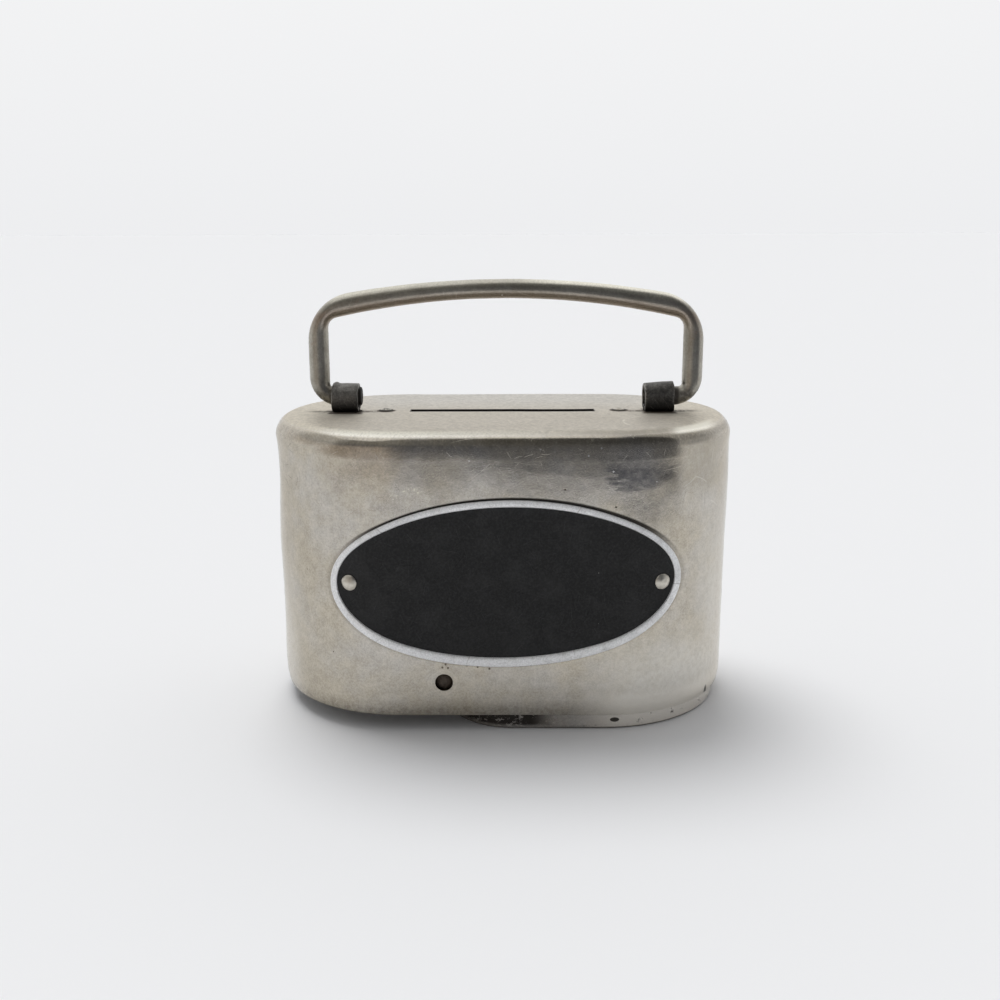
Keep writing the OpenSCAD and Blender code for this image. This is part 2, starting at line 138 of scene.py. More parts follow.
def unrolled(tree):  # places on the piece's skin laid flat, in millimetres
    return Wire(tree).node("ShaderNodeUVMap", {"uv_map": "wrap"})


def cloud(place, size, detail=2.0, rough=0.5, stretch=(1, 1, 1), turn=(0, 0, 0), shift=0.0):
    laid = place.node("ShaderNodeMapping", {"vector_type": "POINT"}, {
        "Vector": place, "Location": (shift, shift * 1.7, -shift),
        "Rotation": [math.radians(a) for a in turn], "Scale": [1 / (size * s) for s in stretch]})
    return laid.node("ShaderNodeTexNoise", {"noise_dimensions": "3D"},
                     {"Vector": laid, "Scale": 1.0, "Detail": detail, "Roughness": rough})


def spots(place, cell, size, share, shift=0.0):  # round marks, one in some of the cells
    laid = place.node("ShaderNodeMapping", {}, {
        "Vector": place, "Location": (shift, shift * 1.3, shift * 0.7), "Scale": [1 / cell] * 3})
    near = {"Vector": laid, "Scale": 1.0, "Randomness": 1.0}
    settings = {"voronoi_dimensions": "3D"}
    away = laid.node("ShaderNodeTexVoronoi", settings, near, "Distance")
    chance = laid.node("ShaderNodeTexVoronoi", settings, near, "Color").axis("X")
    spread = chance.fade(1 - share, 1.0)
    return (away * cell).fade(size * 1.2, size * 0.5) * spread.fade(0.0, 0.25)


def strokes(flat, cell, width, share, bow=0.15, shift=0.0):  # a bowed scratch in some of the cells
    laid = flat.node("ShaderNodeMapping", {}, {
        "Vector": flat, "Location": (shift, -shift, 0), "Scale": [1 / cell] * 3})
    near = {"Vector": laid, "Scale": 1.0, "Randomness": 1.0}
    settings = {"voronoi_dimensions": "2D"}
    seed = laid.node("ShaderNodeTexVoronoi", settings, near, "Color")
    heart = laid.node("ShaderNodeTexVoronoi", settings, near, "Position")
    offset = laid.node("ShaderNodeVectorMath", {"operation": "SUBTRACT"}, {0: laid, 1: heart})
    x, y = offset.axis("X"), offset.axis("Y")
    angle = seed.axis("X") * math.tau
    cosine, sine = x.maths("COSINE", angle), x.maths("SINE", angle)
    along = x * cosine + y * sine
    across = y * cosine - x * sine + along * along * bow
    line = (abs(across) * cell).fade(width, width * 0.3)
    reach = abs(along).fade(0.5, 0.25)
    return line * reach * seed.axis("Y").fade(1 - share, 1 - share + 0.1)


def far(across, up):  # distance from the middle
    return (across * across + up * up) ** 0.5


def ringMark(x, y, centre, radius, width):  # soft ring round a place
    return abs(far(x - centre[0], y - centre[1]) - radius).fade(width, width * 0.2)


def blotch(x, y, centre, halfX, halfY, soft=0.4):  # soft oval patch
    across = (x - centre[0]) / halfX
    up = (y - centre[1]) / halfY
    return (across * across + up * up).fade(1 + soft, 1 - soft)


def plateReach(across, up):  # 1 on the nameplate's outline
    return far(across / ((plateHigh.x - plateLow.x) / 2), up / ((plateHigh.z - plateLow.z) / 2))


def dots(place, centres, size):  # a round mark at each centre
    made = None
    for centre in centres:
        away = place.node("ShaderNodeVectorMath", {"operation": "DISTANCE"}, {0: place, 1: centre}, "Value")
        made = away if made is None else made.least(away)
    return made.fade(size * 1.15, size * 0.6)


def finishPaint(material, tree, sockets, relief=None, depth=0.05):  # relief stands up to depth millimetres
    if relief is not None:
        sockets["Normal"] = relief.node("ShaderNodeBump", {}, {"Height": relief, "Distance": depth * mm})
    shader = Wire(tree).node("ShaderNodeBsdfPrincipled", {}, sockets)
    shader.node("ShaderNodeOutputMaterial", {}, {"Surface": shader})
    return material


def newPaint(name):
    material = bpy.data.materials.new(name)
    material.use_nodes = True
    material.node_tree.nodes.clear()
    return material, material.node_tree


# Mesh building: rings of points in millimetres

def arc(centre, radius, start, end, count):
    made = []
    for i in range(count + 1):
        angle = math.radians(start + (end - start) * i / count)
        made.append((centre[0] + radius * math.cos(angle), centre[1] + radius * math.sin(angle)))
    return made


def ringPiece(name, rings, caps=(True, True), merge=0.0):
    count = len(rings[0])

    def girth(ring):
        return sum((Vector(ring[i]) - Vector(ring[i - 1])).length for i in range(count))

    widest = max(rings, key=girth)
    around, along = [0.0], [0.0]
    for i in range(count):
        around.append(around[-1] + (Vector(widest[(i + 1) % count]) - Vector(widest[i])).length)
    for one, two in zip(rings, rings[1:]):
        steps = [(Vector(a) - Vector(b)).length for a, b in zip(one, two)]
        along.append(along[-1] + max(steps))
    mesh = bmesh.new()
    flat = mesh.loops.layers.uv.new("wrap")
    rows = [[mesh.verts.new(Vector(p) * mm) for p in ring] for ring in rings]
    for j, (lower, upper) in enumerate(zip(rows, rows[1:])):
        for i in range(count):
            k = (i + 1) % count
            face = mesh.faces.new((lower[i], lower[k], upper[k], upper[i]))
            marks = ((around[i], along[j]), (around[i + 1], along[j]),
                     (around[i + 1], along[j + 1]), (around[i], along[j + 1]))
            for corner, mark in zip(face.loops, marks):
                corner[flat].uv = mark
    for row, wanted, turned in ((rows[0], caps[0], True), (rows[-1], caps[1], False)):
        if wanted:
            face = mesh.faces.new(row[::-1] if turned else row)
            for corner in face.loops:
                place = corner.vert.co / mm
                corner[flat].uv = (place.x + place.z * 0.7, place.y + place.z * 0.7)
    if merge:
        bmesh.ops.remove_doubles(mesh, verts=mesh.verts, dist=merge * mm)
    bmesh.ops.dissolve_degenerate(mesh, edges=mesh.edges, dist=1e-7)
    bmesh.ops.recalc_face_normals(mesh, faces=mesh.faces)
    return pieceFrom(name, mesh)


def pieceFrom(name, mesh):
    data = bpy.data.meshes.new(name)
    mesh.to_mesh(data)
    mesh.free()
    piece = bpy.data.objects.new(name, data)
    bpy.context.scene.collection.objects.link(piece)
    return piece


def applied(piece):  # the piece's modifiers worked into its mesh
    graph = bpy.context.evaluated_depsgraph_get()
    graph.update()
    shaped = piece.evaluated_get(graph)
    data = bpy.data.meshes.new_from_object(shaped, preserve_all_data_layers=True, depsgraph=graph)
    piece.modifiers.clear()
    piece.data = data
    return piece


def lathe(profile, count, axis="Z"):  # rings of (radius, height) turned about Z or Y
    rings = []
    for radius, height in profile:
        circle = arc((0, 0), max(radius, 0.002), 0, 360, count)[:-1]
        rings.append([(x, y, height) if axis == "Z" else (y, height, x) for x, y in circle])
    return rings


def placed(rings, matrix):
    return [[tuple(matrix @ Vector(p)) for p in ring] for ring in rings]


def blockShape(low, high):
    size = Vector(high) - Vector(low)
    matrix = Matrix.Translation((Vector(low) + Vector(high)) / 2 * mm) @ Matrix.Diagonal((*(size * mm), 1))
    return lambda mesh: bmesh.ops.create_cube(mesh, size=1, matrix=matrix)


def rodShape(start, end, diameter, endDiameter=None, count=48):
    start, end = Vector(start) * mm, Vector(end) * mm
    turn = (end - start).to_track_quat("Z", "Y").to_matrix().to_4x4()
    matrix = Matrix.Translation((start + end) / 2) @ turn
    return lambda mesh: bmesh.ops.create_cone(
        mesh, cap_ends=True, segments=count, radius1=diameter / 2 * mm,
        radius2=(endDiameter or diameter) / 2 * mm, depth=(end - start).length, matrix=matrix)


def combine(piece, operation, *others):  # others are shapes, which share one tool, or pieces
    shapes = [other for other in others if callable(other)]
    tools = [other for other in others if not callable(other)]
    if shapes:
        mesh = bmesh.new()
        for shape in shapes:
            shape(mesh)
        tools.append(pieceFrom("tool", mesh))
    for tool in tools:
        step = piece.modifiers.new("step", "BOOLEAN")
        step.operation = operation
        step.solver = "EXACT"
        step.object = tool
        applied(piece)
        bpy.data.objects.remove(tool)
    return piece


def boxWrap(piece):  # a skin map by each face's main direction
    data = piece.data
    layer = data.uv_layers.get("wrap") or data.uv_layers.new(name="wrap")
    for face in data.polygons:
        main = max(range(3), key=lambda i: abs(face.normal[i]))
        for i in face.loop_indices:
            place = data.vertices[data.loops[i].vertex_index].co / mm
            rest = [place[k] for k in range(3) if k != main]
            layer.data[i].uv = (rest[0] + 200 * main, rest[1])
    return piece


def smooth(piece, degrees=35):
    piece.data.polygons.foreach_set("use_smooth", [True] * len(piece.data.polygons))
    piece.data.set_sharp_from_angle(angle=math.radians(degrees))
    return piece


def dress(piece, body, slot, nodes, *paints):
    for paint in paints:
        piece.data.materials.append(paint)
    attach(piece, body)
    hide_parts(*nodes)
    return piece


def wobble(place, size, depth, seed=0.0):
    return depth * noise.noise(Vector(place) / size + Vector((seed, seed * 2, -seed)))


# Camera, floor and light

cameraView = {
    "target": (-0.61, 0.0, 44.35),
    "distance": 262.45,
    "azimuth": 0.344,
    "elevation": 13.682,
    "roll": -0.178,
    "lens": 40.846,
}


def makeCamera(view):
    turn, rise, roll = (math.radians(view[k]) for k in ("azimuth", "elevation", "roll"))
    back = Vector((math.sin(turn) * math.cos(rise), -math.cos(turn) * math.cos(rise), math.sin(rise)))
    right = Vector((math.cos(turn), math.sin(turn), 0))
    up = back.cross(right)
    tilted = right * math.cos(roll) + up * math.sin(roll)
    upright = up * math.cos(roll) - right * math.sin(roll)
    data = bpy.data.cameras.new("camera")
    data.lens = view["lens"]
    data.clip_start = 0.005
    data.clip_end = 50
    camera = bpy.data.objects.new("camera", data)
    place = Vector(view["target"]) + back * view["distance"]
    turned = Matrix((tilted, upright, back)).transposed().to_4x4()
    camera.matrix_world = Matrix.Translation(place * mm) @ turned
    bpy.context.scene.collection.objects.link(camera)
    bpy.context.scene.camera = camera


studio = {
    "floorColour": (0.875, 0.88, 0.895),
    "floorHalf": 12000,
    "skyHorizon": (0.853, 0.858, 0.872),
    "skyTop": (0.97, 0.97, 0.967),
    "skyLevel": 0.54,  # on surfaces; the camera and reflections see the sky at 1
    "skyFront": 0.38,  # and it lights this much less from the front, more from behind
    "roomNear": 297,  # the dark room in front, seen only in reflections, starts this far out on the table
    "roomFar": 11000,
    "roomRise": (74, 80),  # and ends this high up, in degrees
    "roomLow": (0.15, 0.155, 0.172),  # colour at the table, and high up
    "roomHigh": (0.085, 0.085, 0.085),
    "roomLeft": (0.46, 0.41, 0.37),  # colour low down at the left
    "roomSide": (0.30, 0.29, 0.265),  # colour high up at the left
    "roomEnds": ((1.30, 1.06), (-1.5, -0.9)),  # where it fades out at the right and at the left, in radians
    "roomSoft": (-17, 13),  # softness of its edge on the table
    "roomSlope": 0.2,  # how much lower it is at its left
    "roomWings": 0.55,  # share of it that shows from beside the bank
    "sunPlace": (-0.22, 0.38, 1.0),
    "sunSpread": 36,
    "sunStrength": 1.63,
}


def roomColour(look, x, y, rise):  # colour and share of the dark room, by direction
    turn = x.maths("ARCTAN2", x, 0 - y)  # 0 straight in front, positive to the right
    stops = [(0.0, look["roomLow"]), (1.0, look["roomHigh"])]
    colour = rise.node("ShaderNodeValToRGB", {"stops": stops}, {0: rise})
    colour = colour.tint(turn.fade(0.10, -0.25) * rise.fade(0.35, 0.8) * 0.8, look["roomSide"])
    left = turn.fade(-0.06, -0.34) * rise.fade(0.6, 0.1)
    farLeft = turn.fade(-0.2, -0.8) * rise.fade(0.45, 0.05)
    colour = colour.tint(left.most(farLeft), look["roomLeft"])
    rightEnd, leftEnd = look["roomEnds"]
    return colour, (turn - rise * 0.3).fade(*rightEnd) * turn.fade(*leftEnd), turn


def makeSky(look):
    world = bpy.data.worlds.new("studio")
    bpy.context.scene.world = world
    world.use_nodes = True
    tree = world.node_tree
    tree.nodes.clear()
    way = Wire(tree).node("ShaderNodeTexCoord", {}, {}, "Generated")
    x, y, z = (way.axis(name) for name in "XYZ")
    stops = [(0.0, look["skyHorizon"]), (0.55, look["skyTop"])]
    sky = way.node("ShaderNodeValToRGB", {"stops": stops}, {0: z})
    camera, glossy, clear = (way.node("ShaderNodeLightPath", {}, {}, "Is " + ray + " Ray")
                             for ray in ("Camera", "Glossy", "Transmission"))
    low, high = (math.sin(math.radians(a)) for a in look["roomRise"])
    dark, sides, turn = roomColour(look, x, y, z.fade(0.0, 0.9))
    wings = abs(turn).fade(2.3, 1.7) * z.fade(0.0, 0.25) * look["roomWings"]
    height = z + turn.fade(-0.05, -0.75) * look["roomSlope"]
    sky = sky.tint(sides.most(wings) * height.fade(high, low) * glossy, dark)
    seen = camera.most(glossy).most(clear)
    light = (y.fade(-0.6, 0.6) * 2 - 1) * look["skyFront"] + 1
    strength = seen.most(light * look["skyLevel"])
    glow = sky.node("ShaderNodeBackground", {}, {"Color": sky, "Strength": strength})
    glow.node("ShaderNodeOutputWorld", {}, {"Surface": glow})


def makeRoom(look):  # the room's part of the table
    mesh = bmesh.new()
    steps, overFloor, before = 48, 0.3, 80  # its soft edge lies in the strip before roomNear
    rows = []
    for radius in (look["roomNear"] - before, look["roomFar"]):
        line = arc((0, 0), radius, -180, 0, steps)
        rows.append([mesh.verts.new(Vector((x, y, overFloor)) * mm) for x, y in line])
    for i in range(steps):
        mesh.faces.new((rows[0][i], rows[0][i + 1], rows[1][i + 1], rows[1][i]))
    room = pieceFrom("darkRoom", mesh)
    material, tree = newPaint("darkRoom")
    place = millimetres(tree)
    x, y = place.axis("X"), place.axis("Y")
    colour, sides, turn = roomColour(look, x, y, x * 0)
    edge = turn.fade(0, -0.65) * 38 - turn.fade(-0.03, 0.2) * 25 - turn.fade(0.2, 0.6) * 12 + look["roomNear"]
    share = sides * (far(x, y) - edge).fade(*look["roomSoft"])
    glow = colour.node("ShaderNodeEmission", {}, {"Color": colour, "Strength": 1.0})
    clear = colour.node("ShaderNodeBsdfTransparent")
    mixed = colour.node("ShaderNodeMixShader", {}, {0: share, 1: clear, 2: glow})
    mixed.node("ShaderNodeOutputMaterial", {}, {"Surface": mixed})
    room.data.materials.append(material)
    room.visible_camera = False
    room.visible_diffuse = False
    room.visible_shadow = False


def makeStudio(look):
    bpy.context.scene.view_settings.view_transform = "Standard"
    makeSky(look)
    makeRoom(look)
    mesh = bmesh.new()
    bmesh.ops.create_grid(mesh, x_segments=4, y_segments=4, size=look["floorHalf"] * mm)
    floor = pieceFrom("floor", mesh)
    material, tree = newPaint("paleFloor")
    finishPaint(material, tree, {"Base Color": (*look["floorColour"], 1), "Roughness": 0.9})
    floor.data.materials.append(material)

    data = bpy.data.lights.new("overhead", "SUN")
    data.angle = math.radians(look["sunSpread"])
    data.energy = look["sunStrength"]
    lamp = bpy.data.objects.new("overhead", data)
    lamp.matrix_world = Vector(look["sunPlace"]).to_track_quat("Z", "Y").to_matrix().to_4x4()
    lamp.visible_glossy = False
    bpy.context.scene.collection.objects.link(lamp)


makeCamera(cameraView)
makeStudio(studio)
print("camera, floor and light made")


# Nickel-plated sheet of the shell and the pan

nickel = {
    "warm": (0.50, 0.455, 0.375),
    "cool": (0.51, 0.485, 0.445),
    # the three top colours are painted light: the top face lighter than the front, paler at the back and
    # brighter at the ends
    "top": (0.675, 0.635, 0.565),
    "paintedLightTopBack": (0.72, 0.70, 0.66),
    "topEnds": (0.76, 0.71, 0.61),
    # painted reflection: the brighter ends and lower right of the shell
    "bright": (0.68, 0.66, 0.61),
    # polish and painted highlight on the top edge
    "worn": (0.95, 0.93, 0.84),
    "edgeOn": (0.90, 0.88, 0.85, 1),  # reflectance at a grazing view
    "dull": (0.30, 0.26, 0.205),
    "dirt": (0.085, 0.062, 0.043),
    "scratch": (0.74, 0.71, 0.63),
    "speck": (0.92, 0.9, 0.85),
    "rough": 0.11,
}


def nickelBase(tree, look):
    place, flat = millimetres(tree), unrolled(tree)
    patches = cloud(place, 13, 4, 0.6)
    clouds = cloud(place, 6, 5, 0.62, shift=17)
    grain = cloud(place, 0.42, 3, 0.65)
    mottle = cloud(place, 1.9, 4, 0.68, shift=11)
    haze = cloud(flat, 6, 4, 0.6, stretch=(3.5, 0.6, 1), turn=(0, 0, 8))
    colour = place.colour(look["warm"])
    colour = colour.tint(patches.fade(0.33, 0.70), look["cool"])
    stain = clouds.fade(0.46, 0.70)
    colour = colour.tint(stain * 0.16, look["dull"])
    level = 0.70 + grain.fade(0.28, 0.72) * 0.24 + mottle.fade(0.3, 0.7) * 0.16 + patches * 0.14
    colour = colour.shade(level)
    fine = strokes(flat, 2.2, 0.05, 0.55, 0.3)
    long = strokes(flat, 8, 0.07, 0.5, 0.12, 3.7)
    lines = fine.most(long)
    colour = colour.tint(lines * 0.26, look["scratch"])
    pits = spots(place, 2.8, 0.15, 0.10, 2.0).most(spots(place, 6, 0.28, 0.12, 4.0)) * 0.85
    specks = spots(place, 5.5, 0.13, 0.12, 7.0)
    colour = colour.tint(pits, look["dirt"]).tint(specks, look["speck"])
    rough = look["rough"] + patches * 0.04 + haze.fade(0.35, 0.75) * 0.05 + stain * 0.05
    rough = rough + pits * 0.4 + lines * 0.06
    metal = 1.0 - pits * 0.7 - specks * 0.6
    relief = cloud(place, 6, 2) * 0.55 + grain * 0.08 + mottle * 0.13
    relief = relief - lines * 0.12 - pits * 0.5 + specks * 0.2
    return place, flat, colour, rough, metal, relief


shellMarks = {  # where the real shell is worn or marked, and the places and colours of painted light and shade on it
    "handleRound": (33.7, -15.6),  # on the top, X and Y: the round that the handle has rubbed
    "lobe": (28.6, 57.2),  # on the front, X and Z: where the painted dark reflection band ends
    "paleMarks": (((-17.9, 53.4), 2.9, 0.75), ((-22.4, 52.0), 1.9, 0.5)),
    "hatch": (-46, 56),
    "rubs": (46, 52),
    # on the front, X and Z: a painted shadow above the pan at the right end
    "paintedShadowWedge": (45.5, 4.0),
    "pits": [(-12.1, -29, 15.5), (-12.8, -29, 14.8), (-11.6, -29, 14.7), (-7.6, -29, 15.3),
             (-5.3, -29, 14.9), (-2.8, -29, 14.5), (12.9, -29, 53.6), (23.4, -29, 49.9)],
    "specks": [(20.2, -29, 62.2), (17.6, -29, 60.6), (31.9, -27.3, 54.8), (22.7, -29, 57.3),
               (-6.7, -29, 59.6), (7.8, -29, 61.9)],
    # painted shade high on the right end
    "shade": (0.36, 0.33, 0.275),
    # painted dark reflection under the top edge
    "band": (0.152, 0.148, 0.15),
    # painted light on the top in front of the straps
    "paintedLightNearStraps": (0.95, 0.90, 0.80),
    "roundEdge": (0.93, 0.9, 0.82),
    # painted light low down at the right
    "rim": (0.93, 0.89, 0.81),
    "holeEdge": (0.75, 0.7, 0.62),
    "paleMark": (0.86, 0.82, 0.66),
    "hatching": (0.10, 0.09, 0.075),
    "rub": (0.80, 0.78, 0.72),
    # painted shade on the top edge toward the right
    "paintedEdgeShade": (0.33, 0.30, 0.25),
    "nick": (0.9, 0.88, 0.8),
    # painted dark reflection below the top edge
    "paintedDarkReflectionLine": (0.16, 0.15, 0.13),
    "frontSpeck": (0.95, 0.94, 0.9),
    # painted shade in the slot, above the pan and along the nameplate
    "gap": (0.014, 0.012, 0.011),
}


def shellTopPaintedLight(look, place, colour, broken, grain):  # painted light: the top face is painted lighter than the front, paler toward the back and warmer and brighter at the ends
    x, y, z = (place.axis(name) for name in "XYZ")
    face = colour.tint(1.0, look["top"]).tint(y.fade(-4, 18), look["paintedLightTopBack"])
    face = face.tint(x.fade(30, 44).most(x.fade(-28, -42)) * 0.8, look["topEnds"])
    face = face.shade(0.78 + grain.fade(0.3, 0.7) * 0.16 + broken.fade(0.3, 0.7) * 0.20)
    return colour.tint(z.fade(shell["top"] - 1.4, shell["top"] - 0.2), face)


def paintedReflectionsOnSides(look, marks, place, colour, broken):  # painted reflections: brighter low down at the ends and at the lower right; painted shade high at the right
    x, z = place.axis("X"), place.axis("Z")
    # painted reflection: the ends and the lower right of the front painted brighter
    sides = (x.fade(38, 50) * z.fade(60, 30)).most(x.fade(-42, -49) * z.fade(40, 12))
    sides = sides.most(x.fade(14, 32) * z.fade(26, 10))
    colour = colour.tint(sides * (0.45 + broken.fade(0.3, 0.7) * 0.5), look["bright"])
    # painted shade: darker high up on the right end
    shade = x.fade(35, 40) * x.fade(48, 44) * z.fade(50, 54) * z.fade(shell["top"] - 0.8, shell["top"] - 3.3)
    return colour.tint(shade * (0.35 + broken.fade(0.3, 0.7) * 0.3), marks["shade"])


def dirtAndPaintedShadowOnTop(place, broken):  # dirt along the middle of the top; dirt and painted shadow round the guard's rivets; painted shadow round the straps
    x, y = place.axis("X"), place.axis("Y")
    reach = abs(x)
    strapPlace, strapLength, _ = shell["strap"]
    lane = abs(y + 1.2).fade(1.9, 0.4) * reach.fade(27, 29) * reach.fade(46, 40) * broken.fade(0.38, 0.52)
    # dirt and painted shadow in a ring round each guard rivet
    foot = ringMark(reach, y, (shell["guardRivet"], -0.2), 1.85, 0.55)
    # painted shadow along each strap, mostly in front of it
    paintedStrapShadow = abs(reach - strapPlace).fade(strapLength / 2 + 1, strapLength / 2)
    paintedStrapShadow = paintedStrapShadow * abs(y + 2.4).fade(2.9, 2.1)
    return (lane * 0.9).most(foot).most(paintedStrapShadow)


def paintedReflectionBand(marks, place, broken):  # painted reflection of the dark room: the band under the top edge widens to the right and ends in a lobe
    x, z = place.axis("X"), place.axis("Z")
    streaks = cloud(place, 1.6, 4, 0.7, stretch=(3.0, 1, 0.6), shift=14) - 0.5
    slant = (z + x * 0.115 + streaks * 3).fade(57.2, 58.8) * x.fade(-4, 4) * x.fade(35.2, 32.8) * 0.5
    lobe = blotch(x + streaks * 14, z + streaks * 4, marks["lobe"], 7.2, 4.1, 0.5)
    lobe = lobe * (0.55 + z.fade(60.5, 56.5) * 0.45) * (1 - x.fade(30, 34.5) * 0.4)
    band = slant.most(lobe) * z.fade(shell["top"] - 3.8, shell["top"] - 5.8)
    return band * (0.72 + broken.fade(0.35, 0.65) * 0.32)


def plateShadow(place):  # the dark line along the nameplate's edge, deeper above
    across, up = place.axis("X") - shell["plateShift"], place.axis("Z") - shell["plateMiddle"]
    level = up - across * math.tan(math.radians(shell["plateTilt"]))
    return plateReach(across, level).fade(1.032, 1.014) * (up.fade(5.7, 12.7) * 0.75 + 0.2)


def paintShell(look, marks):
    material, tree = newPaint("nickelShell")
    place, flat, colour, rough, metal, relief = nickelBase(tree, look)
    x, y, z = (place.axis(name) for name in "XYZ")
    reach, top = abs(x), shell["top"]
    onTop = z.fade(top - 0.7, top - 0.2)
    onFront, roundFront, frontHalf = y.fade(-20, -26), y.fade(-12, -16), y.fade(0, -4)
    broken = cloud(place, 1.1, 4, 0.7, shift=21)
    grain = cloud(place, 0.5, 3, 0.7, shift=29)
    colour = shellTopPaintedLight(look, place, colour, broken, grain)
    colour = paintedReflectionsOnSides(look, marks, place, colour, broken)
    # real dirt, and painted shadow round the straps and the guard rivets
    dirt = dirtAndPaintedShadowOnTop(place, broken) * onTop
    slotX, slotY = shell["slot"][0] / 2, shell["slot"][1] / 2
    # painted shade: the walls of the slot painted near black
    paintedSlotShade = reach.fade(slotX + 0.4, slotX) * abs(y).fade(slotY + 0.6, slotY + 0.2)
    paintedSlotShade = paintedSlotShade * z.fade(top - 1.8, top - 1.3)
    band = paintedReflectionBand(marks, place, broken) * roundFront
    # darker, rougher and less metallic near the rim, fading out toward the right
    darkerLowLeft = z.fade(7.5, 3.8) * broken.fade(0.35, 0.7) * x.fade(30, 0) * 0.36
    # painted light: the front painted brighter low down at the right
    paintedLightRimRight = z.fade(10, 5) * x.fade(12, 28) * 0.8
    # painted shadow: a dark wedge on the front low down at the right end, above the pan
    paintedShadowWedge = blotch(x, z, marks["paintedShadowWedge"], 0.35, 1.6, 0.6)
    gap = paintedSlotShade.most(paintedShadowWedge * roundFront).most(plateShadow(place) * roundFront)
    # scratches and small marks
    roundEdge = ringMark(x, y, marks["handleRound"], 7.8, 0.35) * onTop
    roundEdge = roundEdge * cloud(place, 3, 2, shift=12).fade(0.46, 0.6)
    hole = ringMark(x, z, shell["pin"], 2.7, 0.25) * onFront
    gritty = cloud(place, 0.55, 3, 0.7, shift=4).fade(0.54, 0.62)
    pale, paleToo = (blotch(x, z, *mark) for mark in marks["paleMarks"])
    paleMarks = pale.most(paleToo) * gritty * onFront
    hatch = strokes(flat, 2.6, 0.09, 0.8, 0.1, 6.5) * blotch(x, z, marks["hatch"], 5, 7, 0.5) * frontHalf
    rubs = strokes(flat, 5.5, 0.12, 0.8, 0.22, 5.5) * blotch(x, z, marks["rubs"], 8, 11, 0.6) * frontHalf
    pits, specks = dots(place, marks["pits"], 0.24), dots(place, marks["specks"], 0.22)
    # the top edge: polished and with a painted highlight at the left, painted shade dulling it toward the
    # right, nicked, a painted highlight streak at the right end, and a painted dark reflection line below
    edge = z.fade(top - 1.4, top - 0.8) * z.fade(top + 0.05, top - 0.3)
    nicks = spots(place, 1.3, 0.16, 0.5, 3.3) * edge
    worn = edge * x.fade(24, -30) * (0.5 + grain.fade(0.25, 0.6) * 0.5) * onFront
    paintedHighlightStreak = edge * x.fade(34, 37) * x.fade(47, 43)
    dull = edge * x.fade(4, 30) * x.fade(38, 33) * (0.25 + grain.fade(0.3, 0.6) * 0.35)
    line = z.fade(top - 2.7, top - 2.1) * z.fade(top - 1.0, top - 1.6)
    line = line * x.fade(-30, 30) * grain.fade(0.3, 0.6)
    # painted light: the top painted brighter just in front of the straps
    near = abs(reach - 35).fade(6, 3) * y.fade(-13, -5) * y.fade(0, -3) * onTop
    for mask, tone in ((near * 0.7, marks["paintedLightNearStraps"]), (roundEdge * 0.6, marks["roundEdge"]),
                       (band, marks["band"]), (paintedLightRimRight, marks["rim"]),
                       (hole * 0.15, marks["holeEdge"]), (paleMarks * 0.7, marks["paleMark"]),
                       (hatch * 0.6, marks["hatching"]), (rubs * 0.4, marks["rub"]),
                       (worn.most(paintedHighlightStreak * 0.8), look["worn"]), (dull, marks["paintedEdgeShade"]),
                       (nicks * 0.5, marks["nick"]), (line * 0.45, marks["paintedDarkReflectionLine"]),
                       (pits * 0.85, look["dirt"]), (specks * 0.8, marks["frontSpeck"]),
                       ((dirt * 0.9).most(darkerLowLeft), look["dirt"]), (gap, marks["gap"])):
        colour = colour.tint(mask, tone)
    rough = rough + z.fade(top - 1.1, top - 0.3) * 0.38
    rough = rough + dirt * 0.2 + darkerLowLeft * 0.3 + worn * 0.12 + paintedSlotShade * 0.3
    metal = (metal - (dirt * 0.6).most(paintedSlotShade) - darkerLowLeft * 0.5).most(0.0)
    relief = relief + dirt * 0.4 - nicks * 0.3 - rubs * 0.15 - hatch * 0.2 - pits * 0.6
    sockets = {"Base Color": colour, "Roughness": rough.most(0.12).least(0.9), "Metallic": metal,
               "Specular Tint": look["edgeOn"]}
    return finishPaint(material, tree, sockets, relief)


# Shell: drawn oval cup, open below

shellLow, shellHigh = cornersOf("case_shell")
plateLow, plateHigh = cornersOf("nameplate")
strapLow, strapHigh = cornersOf("handle_strap_right")
pinLow, pinHigh = cornersOf("hinge_pin")
endRivetLow, endRivetHigh = cornersOf("end_rivets")
shell = {
    "endRadius": shellHigh.y,
    "endPlace": shellHigh.x - shellHigh.y,  # where the round ends begin
    "rim": shellLow.z,
    "top": shellHigh.z,
    "sheet": 0.9,
    "edge": 4.0,
    "bulge": 0.22,  # the drawn top edge stands a little proud
    "tuckIn": 0.45,  # the rim turns in a little
    "waves": 0.09,
    "slot": (41.4, 2.6),
    "guardRivet": 26.4,
    "plateRivet": (plateHigh.x - plateLow.x) / 2 - 4.4,
    "plateShift": (plateHigh.x + plateLow.x) / 2,
    "plateMiddle": (plateHigh.z + plateLow.z) / 2,
    "plateTilt": 1.2,
    "endRivets": (endRivetLow.z + 1.3, endRivetHigh.z - 1.3),  # half a head in from the ends of the pair
    "rivet": 1.9,
    "strap": ((strapLow.x + strapHigh.x) / 2, strapHigh.x - strapLow.x, 1.2),  # its hole: place and sides
    "pin": ((pinLow.x + pinHigh.x) / 2, (pinLow.z + pinHigh.z) / 2),
    "pinHole": 3.8,
}
